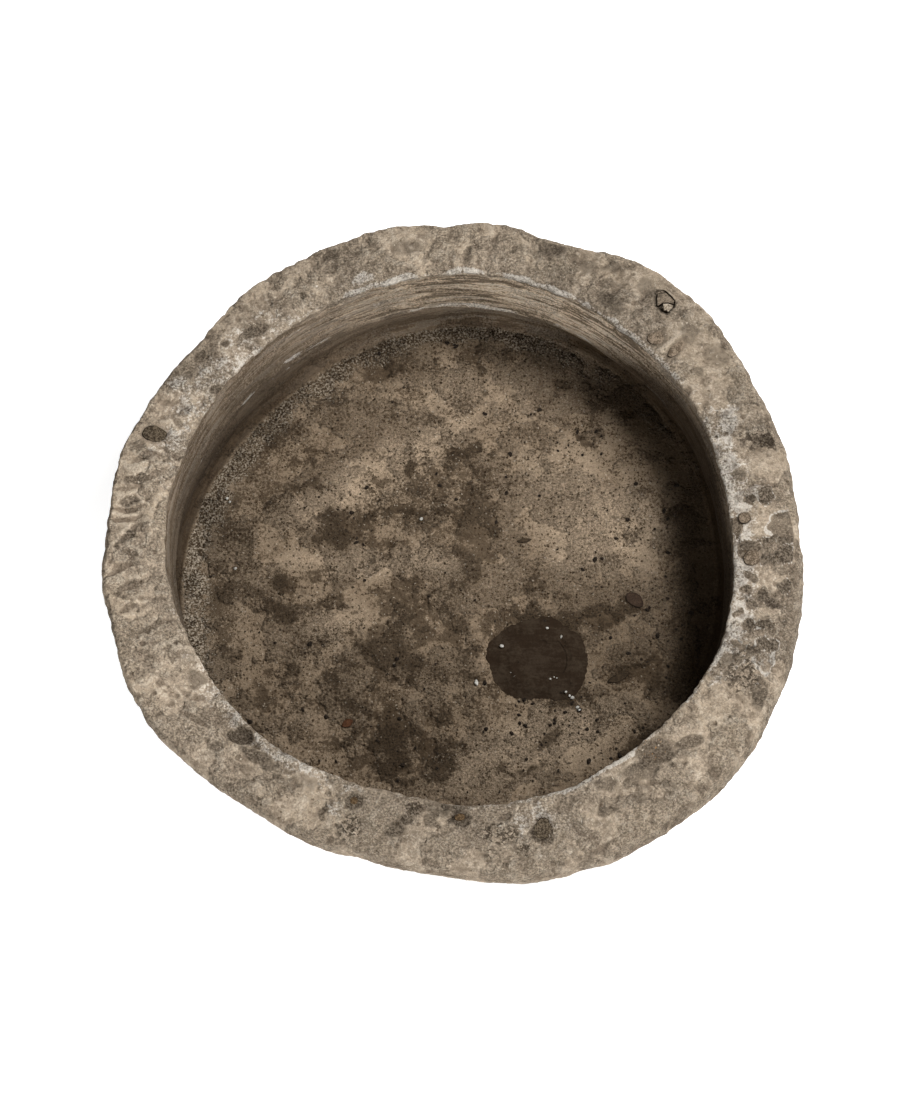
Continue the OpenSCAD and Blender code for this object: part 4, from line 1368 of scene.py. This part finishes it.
class TROUGH_OT_mortar(bpy.types.Operator):
    """Build the dark mortar smeared round the stopper"""

    bl_idname = "trough.mortar"
    bl_label = "Smeared mortar"

    def execute(self, context):
        """Rings from the stopper out to an uneven feathered edge, over smears and lumps.

        The mortar laps onto the stopper's head, except on the right, where the head's edge shows."""
        sizes, colours = context.scene.trough_sizes, context.scene.trough_colours
        block = Block(sizes)
        head_r, head_z = block.head_r, block.stopper[1].z
        angle = around(MORTAR_COLUMNS)
        flat = with_z(sizes.mortar_r * ray(angle), 0)
        lapped = 1 - smooth(1.6 * sector(angle, *HEAD_SHOWS))
        inner_r = head_r + 0.15 * MM - lapped * MM * (MORTAR_LAP + 3 * rough(flat, 16 * MM, 2, 78))
        ragged = 2.6 * rough(flat, 24 * MM, 3, 80) + 1.6 * rough(flat, 6 * MM, 3, 83)
        outer_r = sizes.mortar_r + waves(MORTAR_WAVES, angle) + MM * (ragged + 6 * sector(angle, 139, 50))
        share = np.array([1.0, 0.995, 0.975, *np.linspace(0.93, 0.0, 30)])[:, None]
        radius = inner_r + (outer_r - inner_r) * share
        plan = block.drain + radius[..., None] * ray(angle)
        tall = np.where(share == 1.0, 0.0, 0.3 + 2.6 * smooth((1 - share) * 1.8))
        over = (head_z - block.floor_z) / MM + 0.15
        tall = tall + lapped * (over - tall) * smooth(1.3 - (radius - head_r) / (7 * MM)) * (share < 1)
        top = with_z(plan, block.floor_z + MM * tall)
        lump = smooth((1 - share) * 6) * smooth(0.25 + share * 4)
        top[..., 2] += MM * lump * (0.6 * rough(top, 16 * MM, 3, 86) + 0.35 * rough(top, 4 * MM, 2, 88))
        ridge = smooth(1 - np.abs(radius - head_r - 6 * MM) / (3 * MM)) * sector(angle, *HEAD_SHOWS)
        top[..., 2] += 0.9 * MM * ridge
        inner = with_z(block.drain + inner_r[None, :, None] * ray(angle), block.floor_z + 0.05 * MM)
        piece = mesh_from_grid("mortar_smear", np.concatenate([inner, top]), closed=True)
        finish = smear_finish("stained_mortar", colours.mortar, MORTAR_DUST)
        place(piece, finish, "stained_mortar", "stopper_mortar")
        return {"FINISHED"}


def walk(outline, steps):
    """Points spaced evenly along each side of a closed outline, in metres, anticlockwise."""
    corners = np.array(outline) * MM
    ends = np.roll(corners, -1, axis=0)
    share = np.linspace(0, 1, steps, endpoint=False)[None, :, None]
    line = (corners[:, None] + (ends - corners)[:, None] * share).reshape(-1, 2)
    area = np.sum(corners[:, 0] * ends[:, 1] - corners[:, 1] * ends[:, 0])
    return line if area > 0 else line[::-1]


def flake(name, outline, middle, top, depth, tilt, seed):
    """A broken flake: the outline's sides, a worn edge and a rough top that tilts a little.

    Each ring is the outline drawn in towards its own middle."""
    line = walk(outline, 8)
    centre = line.mean(axis=0)
    share = np.array([1, 1, 0.985, 0.95, 0.88, *np.linspace(0.78, 0.05, 12)])
    height = MM * np.array([-depth, -1.3, -0.55, -0.12, *np.zeros(13)])
    plan = centre + (line - centre) * share[:, None, None]
    rings = with_z(plan + middle[:2], height[:, None] + top)
    above = smooth(1 + height / (2 * MM))[:, None]
    rings[..., 2] += above * (plan @ np.array(tilt) + MM * 0.7 * rough(rings, 6 * MM, 3, seed))
    rings[..., :2] += 0.2 * MM * rough(rings * np.array([1, 1, 0.2]), 3 * MM, 2, seed + 3)[..., None]
    return mesh_from_grid(name, rings)


def chip_bed(block):
    """The rim's face round the chip with the pocket's straight wall: a closed collar of stone.

    Each ring is the pocket's outline grown outwards by a share of the room up to the rim's outer edge.
    The collar's top follows the rim's own face, and its outer part dives under it."""
    chip = block.chip_place()
    line = walk(POCKET, 14)[::-1]
    away = line - line.mean(axis=0)
    away = away / np.linalg.norm(away, axis=-1, keepdims=True)
    angle, out = block.way_out(line + chip[:2])
    edge = np.linalg.norm(block.outer(angle, block.shoulder(angle)) - block.mouth(angle), axis=-1)
    leaning = np.sum(away * ray(angle), axis=-1)
    room = np.where(leaning > 0.05, (edge - out - 1 * MM) / np.maximum(leaning, 0.05), 1)
    room = np.minimum(room, (13 + 1.5 * rough(with_z(line, 0), 9 * MM, 2, 92)) * MM)
    share = np.array([0, 0, 0, 0, 0.03, 0.1, 0.2, 0.3, 0.42, 0.54, 0.66, 0.78, 0.9, 1.0, 1.0])[:, None]
    lift = np.array([-8, -4, -1.6, -0.45, 0.05, 0.25, 0.25, 0.25, 0.25, 0.2, 0.1, -0.25, -0.8, -1.6, -8])
    plan = line + chip[:2] + (share * room)[..., None] * away
    jag = 0.35 * MM * rough(with_z(plan, 0), 4 * MM, 2, 94)
    plan = plan + (jag * smooth(1 - share * 12))[..., None] * away
    face = with_z(plan, block.rim_height(plan))
    relief = rim_relief(block, face) * chip_calm(block, face)
    parts = np.full(len(share), "rim")
    masks = block_masks(block, face, parts, relief)
    # Painted shade along the pocket's edge, laid into the marks mask.
    masks["marks"] = np.maximum(masks["marks"], smooth(1.6 - share / 0.1))
    face[..., 2] += relief + MM * lift[:, None]
    return mesh_from_grid("chip_bed", face, closed=True, masks=masks)


class TROUGH_OT_chip(bpy.types.Operator):
    """Build the loose chip, its paler splinter and the broken pocket in the rim"""

    bl_idname = "trough.chip"
    bl_label = "Rim chip"

    def execute(self, context):
        """The flakes and the pocket's bed, at the height of the worn face where the chip sits."""
        block = Block(context.scene.trough_sizes)
        middle = block.chip_place()
        face = float(rim_relief(block, middle) * chip_calm(block, middle[None])[0]) + middle[2]
        place(chip_bed(block), bpy.data.materials["weathered_stone"], "hewn_stone")
        finishes = {slot: plain_stone(slot, *STONES[slot]) for slot in ("chip_stone", "pale_stone")}
        for name, outline, rise, depth, tilt, seed, slot, *nodes in FLAKES:
            piece = flake(name, outline, middle, face + rise * MM, depth, tilt, seed)
            place(piece, finishes[slot], slot, *nodes)
        return {"FINISHED"}


def pebble_rings(seat, half_l, half_w, turn, crown, seed):
    """An oval stone: straight down in its socket, and a rounded worn crown.

    A ring's reach is a power of the cosine of a climb angle and its height the sine, over a dented oval."""
    angle = around(PEBBLE_COLUMNS)
    dent = 1 + 0.07 * rough(with_z(ray(angle), seed), 1.0, 3, seed + 3)
    oval = np.stack([half_l * np.cos(angle), half_w * np.sin(angle)], axis=-1) * dent[:, None]
    oval = turned(oval, turn)
    climb = np.radians(np.linspace(0, 88, 20))
    dome = max(2.4, crown * 1.1)
    reach = np.concatenate([[0.5, 0.9, 1.0, 1.0], np.cos(climb) ** 0.7])
    height = np.concatenate([[-6.5, -6.5, -6.0, crown - dome - 1], crown - dome * (1 - np.sin(climb))])
    rings = with_z(seat[:2] + MM * reach[:, None, None] * oval, seat[2] + MM * height[:, None])
    lump = 0.55 * rough(rings, 7 * MM, 3, seed)
    rings[..., 2] += MM * lump * smooth(reach[:, None] * 2) * (height[:, None] > -4)
    # The joint mask is painted shade in the gap round the pebble in its socket.
    return rings, {"joint": smooth((reach[:, None] - 0.86) / 0.1)}


class TROUGH_OT_pebbles(bpy.types.Operator):
    """Build the pebbles bedded in the rim"""

    bl_idname = "trough.pebbles"
    bl_label = "Pebbles"

    def execute(self, context):
        """Each pebble is a shell of its own in its socket, with the finish that the record names."""
        block = Block(context.scene.trough_sizes)
        slots = {row["node"]: row["material_slot"] for row in frame["record"]["subparts"]}
        kinds = ("dark_pebble", "brown_pebble", "rusty_pebble")
        finishes = {slot: plain_stone(slot, *STONES[slot]) for slot in kinds}
        for index, (node, degrees, out, *form) in enumerate(PEBBLES):
            rings, masks = pebble_rings(block.on_rim(degrees, out), *form, seed=100 + 5 * index)
            slot = slots[node]
            place(mesh_from_grid(node + "_stone", rings, masks=masks), finishes[slot], slot, node)
        return {"FINISHED"}


# Loose things on the floor

BEAD_SIDES = 7
BEAD_POINTS = 3 * BEAD_SIDES + 2


def beads(name, spots, sizes, floor_z, seed, flat=0.6):
    """Many small stones as one mesh: each is a bead of a few sides, squashed and dented at random.

    A bead's ring reaches out by the cosine of its climb and up by the sine; its poles are closed by fans."""
    random = np.random.RandomState(seed)
    climb = np.radians([-50, 0, 50])
    sides = with_z(np.cos(climb)[:, None, None] * ray(around(BEAD_SIDES)), np.sin(climb)[:, None])
    unit = np.concatenate([sides.reshape(-1, 3), [(0, 0, -1), (0, 0, 1)]])
    count = len(spots)
    grown = unit * random.uniform(0.72, 1.25, (count, BEAD_POINTS, 1)) * sizes[:, None, None]
    stretch = np.stack([random.uniform(0.9, 1.7, count), np.ones(count), np.full(count, flat)], axis=-1)
    grown = grown * stretch[:, None]
    turn = random.uniform(0, 2 * math.pi, count)[:, None]
    c, s = np.cos(turn), np.sin(turn)
    x, y, z = grown[..., 0], grown[..., 1], grown[..., 2]
    made = np.stack([x * c - y * s, x * s + y * c, z + floor_z + sizes[:, None] * flat * 0.7], axis=-1)
    made[..., :2] += spots[:, None]
    low = np.arange(BEAD_SIDES)
    low_after = np.roll(low, -1)
    mid, mid_after = low + BEAD_SIDES, low_after + BEAD_SIDES
    top, top_after = mid + BEAD_SIDES, mid_after + BEAD_SIDES
    quads = [(low, low_after, mid_after, mid), (mid, mid_after, top_after, top)]
    quads = np.concatenate([np.stack(corners, axis=-1) for corners in quads])
    ends = [np.full(BEAD_SIDES, BEAD_POINTS - 2), np.full(BEAD_SIDES, BEAD_POINTS - 1)]
    fans = [(low_after, low, ends[0]), (top, top_after, ends[1])]
    fans = np.concatenate([np.stack(corners, axis=-1) for corners in fans])
    shift = np.arange(count)[:, None, None] * BEAD_POINTS
    faces = (quads + shift).reshape(-1, 4).tolist() + (fans + shift).reshape(-1, 3).tolist()
    return new_piece(name, made.reshape(-1, 3).tolist(), faces)


# Where grit lies: place from the basin's centre, spread in millimetres and number of crumbs.
GRIT = (
    (120, -145, 18, 90), (215, 60, 30, 60), (205, -60, 35, 50), (140, 150, 16, 40), (175, -190, 14, 60),
    (60, -195, 45, 90), (-95, 60, 20, 25), (90, 100, 110, 130), (-120, -100, 120, 120), (150, -120, 60, 90),
    (0, 0, 190, 180), (-150, -175, 40, 40), (0, 268, 8, 20),
)
# Crumbs that would lie further from the basin's centre than this are left out.
GRIT_REACH = 268
# White grains: place from the basin's centre, and radius in millimetres.
WHITE_GRAINS = (
    (50.8, -78.4, 1.9), (98.2, -58.5, 1.5), (113, -68, 1.2), (24.7, -118, 2.3), (124, -133.5, 1.9),
    (129, -143.8, 1.7), (121, -131.5, 1.4), (131, -147, 1.4), (117, -128, 1.1), (-33, 63, 1.6),
    (-228, 8, 1.5), (-238, 86, 1.7), (-235, 82, 1.3), (101, -114, 1.4), (97, -116, 1.1), (105, -112, 1.2),
    (108, -113, 0.9), (93, -118, 0.8), (64, -111, 0.9), (69, -114, 0.7), (60, -107, 0.7), (86, -117, 0.8),
)
# Leaves and husks: place from the basin's centre, half length and half width in millimetres, turn, colour.
LEAVES = (
    (190, -27, 11, 7, -40, (0.026, 0.0165, 0.011)), (171.5, -112, 12, 4, 22, (0.022, 0.015, 0.009)),
    (-109, -161, 6.5, 4, 30, (0.05, 0.022, 0.011)), (75, 39, 8, 2.2, 8, (0.03, 0.021, 0.013)),
)


def leaf_rings(middle, half_l, half_w, turn, seed):
    """A thin dry leaf: a pointed oval drawn in to its middle, curled up at its edges and dented.

    Half the leaf's width is its half width times the sine of the way round, made narrower at both ends."""
    angle = around(LEAF_COLUMNS)
    ragged = 1 + 0.16 * rough(with_z(ray(angle), seed), 0.8, 3, seed + 7)
    wide = half_w * np.sin(angle) * (0.45 + 0.55 * np.abs(np.sin(angle))) * ragged
    oval = turned(np.stack([half_l * np.cos(angle), wide], axis=-1), turn)
    reach = np.array([0.4, 0.8, 0.98, 1.0, 0.99, 0.96, 0.88, 0.75, 0.6, 0.42, 0.24, 0.08])
    height = np.array([0, 0, 0.2, 0.7, 1.2, 1.35, 1.25, 1.1, 1.0, 1.0, 1.05, 1.1])
    rings = with_z(middle[:2] + MM * reach[:, None, None] * oval, middle[2] + MM * height[:, None])
    rings[..., 2] += 0.5 * MM * rough(rings, 6 * MM, 2, seed) * smooth(height[:, None])
    return rings, {"joint": 0.5 * smooth((reach[:, None] - 0.84) / 0.1)}


class TROUGH_OT_grit(bpy.types.Operator):
    """Scatter the dark grit, the white grains and the dry leaves on the floor"""

    bl_idname = "trough.grit"
    bl_label = "Grit, grains and leaves"

    def execute(self, context):
        """Dark beads in heaps and pale grains strewn over the floor, then the leaves laid on it."""
        block = Block(context.scene.trough_sizes)
        random = np.random.RandomState(21)
        heaps = [random.normal((x, y), spread, (count, 2)) for x, y, spread, count in GRIT]
        spots = np.concatenate(heaps) * MM
        spots = spots[np.linalg.norm(spots, axis=1) < GRIT_REACH * MM]
        size = MM * (0.38 + 1.9 * random.uniform(0, 1, len(spots)) ** 5)
        dark = beads("floor_grit", spots + block.basin, size, block.floor_z, 22)
        place(dark, plain_stone("dark_grit", *STONES["dark_grit"]), "dark_pebble")
        x, y, radius = np.array(WHITE_GRAINS).T * MM
        spots = np.stack([x, y], axis=-1) + block.basin
        on_mortar = np.linalg.norm(spots - block.drain, axis=-1) < block.s.mortar_r - 4 * MM
        lift = block.floor_z + np.where(on_mortar, 3.0, 0.4)[:, None] * MM
        pale = beads("white_grains", spots, radius, lift, 23, 0.8)
        place(pale, plain_stone("white_grain", *STONES["white_grain"]), "pale_stone")
        for number, (x, y, *form, tint) in enumerate(LEAVES, 1):
            middle = with_z(block.basin + np.array([x, y]) * MM, block.floor_z + 0.3 * MM)
            rings, masks = leaf_rings(middle, *form, seed=129 + number)
            piece = mesh_from_grid(f"leaf_{number}", rings, masks=masks)
            finish = plain_stone(f"dry_leaf_{number}", tint, np.array(tint) * 1.8, 4.0, 0.4)
            place(piece, finish, "dark_wood")
        return {"FINISHED"}


# Stage

# The lens in millimetres, the camera's distance in metres, its tilt, and where it aims from the block's
# middle in millimetres.
CAMERA_LENS = 128.3
CAMERA_DISTANCE = 4.0
CAMERA_TILT = math.radians(19)
CAMERA_AIM = (-8.4, -13.2)
# Lights: name, direction and tilt from the vertical in degrees, distance and side in metres, and watts.
LIGHTS = (("key", 25, 34, 2.5, 0.95, 92), ("front_fill", -98, 70, 2.6, 1.8, 70))
WHITE = (1, 1, 1)
SKY_TINT = (1, 0.985, 0.96)
SKY_STRENGTH = 0.2
GROUND_WIDTH = 16.0
GROUND_TINT = (0.82, 0.82, 0.82)
GROUND_GLOW = 0.62


class TROUGH_OT_stage(bpy.types.Operator):
    """Set the pale floor, the soft lights, the backdrop and the camera"""

    bl_idname = "trough.stage"
    bl_label = "Stage"

    def execute(self, context):
        """All that stands round the trough for its picture."""
        scene = context.scene
        scene.view_settings.view_transform = "Standard"
        block = Block(scene.trough_sizes)
        set_camera(scene, block)
        set_ground()
        set_world(scene)
        for row in LIGHTS:
            soft_light(Vector((*block.basin, block.s.body_h)), *row)
        return {"FINISHED"}


def set_camera(scene, block):
    """A long lens far above the rim, tilted off the vertical towards the front."""
    data = bpy.data.cameras.new("camera")
    camera = bpy.data.objects.new("camera", data)
    scene.collection.objects.link(camera)
    data.lens = CAMERA_LENS
    data.clip_end = 5 * CAMERA_DISTANCE
    aim = Vector((*(block.middle + MM * np.array(CAMERA_AIM)), block.s.body_h))
    camera.location = aim + CAMERA_DISTANCE * Vector((0, -math.sin(CAMERA_TILT), math.cos(CAMERA_TILT)))
    camera.rotation_euler = (CAMERA_TILT, 0, 0)
    scene.camera = camera


def set_ground():
    """A plain pale floor that the camera sees a little brighter, and that keeps the shadow."""
    half = GROUND_WIDTH / 2
    corners = [(-half, -half, 0), (half, -half, 0), (half, half, 0), (-half, half, 0)]
    ground = new_piece("ground", corners, [(0, 1, 2, 3)])
    material = bpy.data.materials.new("pale_ground")
    material.use_nodes = True
    tree = material.node_tree
    seen = add_node(tree, "LightPath")["Is Camera Ray"]
    glow = add_node(tree, "Math", {0: seen, 1: GROUND_GLOW}, operation="MULTIPLY")[0]
    inputs = {"Base Color": GROUND_TINT, "Roughness": 1.0, "Emission Color": WHITE, "Emission Strength": glow}
    feed(tree, tree.nodes["Principled BSDF"], inputs)
    ground.data.materials.append(material)


def set_world(scene):
    """White to the camera, to gloss and through glass, and a dim even light for the rest."""
    world = bpy.data.worlds.new("world")
    world.use_nodes = True
    scene.world = world
    tree = world.node_tree
    tree.nodes.clear()
    path = add_node(tree, "LightPath")
    seen = path["Is Camera Ray"]
    for name in ("Is Glossy Ray", "Is Transmission Ray"):
        seen = add_node(tree, "Math", {0: seen, 1: path[name]}, operation="MAXIMUM")[0]
    dim = add_node(tree, "Background", {"Color": SKY_TINT, "Strength": SKY_STRENGTH})[0]
    white = add_node(tree, "Background", {"Color": WHITE, "Strength": 1.0})[0]
    mixed = add_node(tree, "MixShader", {0: seen, 1: dim, 2: white})[0]
    add_node(tree, "OutputWorld", {0: mixed})


def soft_light(aim, name, direction, tilt, distance, size, power):
    """A square soft light that faces its aim from a direction, tilted from the vertical, and isn't seen."""
    turn, lean = math.radians(direction), math.radians(tilt)
    way = Vector((math.sin(lean) * math.cos(turn), math.sin(lean) * math.sin(turn), math.cos(lean)))
    data = bpy.data.lights.new(name, "AREA")
    data.shape = "SQUARE"
    data.size = size
    data.energy = power
    light = bpy.data.objects.new(name, data)
    light.location = aim + distance * way
    light.rotation_euler = (-way).to_track_quat("-Z", "Y").to_euler()
    light.visible_camera = False
    bpy.context.scene.collection.objects.link(light)


class TROUGH_PT_pieces(bpy.types.Panel):
    """Lists the trough's pieces and sizes"""

    bl_idname = "TROUGH_PT_pieces"
    bl_label = "Trough"
    bl_space_type = "VIEW_3D"
    bl_region_type = "UI"
    bl_category = "Trough"

    def draw(self, context):
        """A button for each group of pieces, then the sizes and the colours."""
        for operator in OPERATORS:
            self.layout.operator(operator.bl_idname)
        for group in (context.scene.trough_sizes, context.scene.trough_colours):
            column = self.layout.column(align=True)
            for name in group.__annotations__:
                column.prop(group, name)


OPERATORS = (
    TROUGH_OT_stage, TROUGH_OT_block, TROUGH_OT_stopper, TROUGH_OT_mortar, TROUGH_OT_chip,
    TROUGH_OT_pebbles, TROUGH_OT_grit,
)
CLASSES = (TroughSizes, TroughColours, *OPERATORS, TROUGH_PT_pieces)


def register():
    """Registers the classes and hangs the sizes and colours on the scene."""
    for item in CLASSES:
        bpy.utils.register_class(item)
    bpy.types.Scene.trough_sizes = PointerProperty(type=TroughSizes)
    bpy.types.Scene.trough_colours = PointerProperty(type=TroughColours)


def unregister():
    """Takes the sizes and colours off the scene and unregisters the classes."""
    del bpy.types.Scene.trough_sizes
    del bpy.types.Scene.trough_colours
    for item in reversed(CLASSES):
        bpy.utils.unregister_class(item)


def main():
    """Registers the add-on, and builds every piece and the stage."""
    register()
    for operator in OPERATORS:
        group, name = operator.bl_idname.split(".")
        getattr(getattr(bpy.ops, group), name)()
    bpy.context.view_layer.update()


if __name__ == "__main__":
    main()
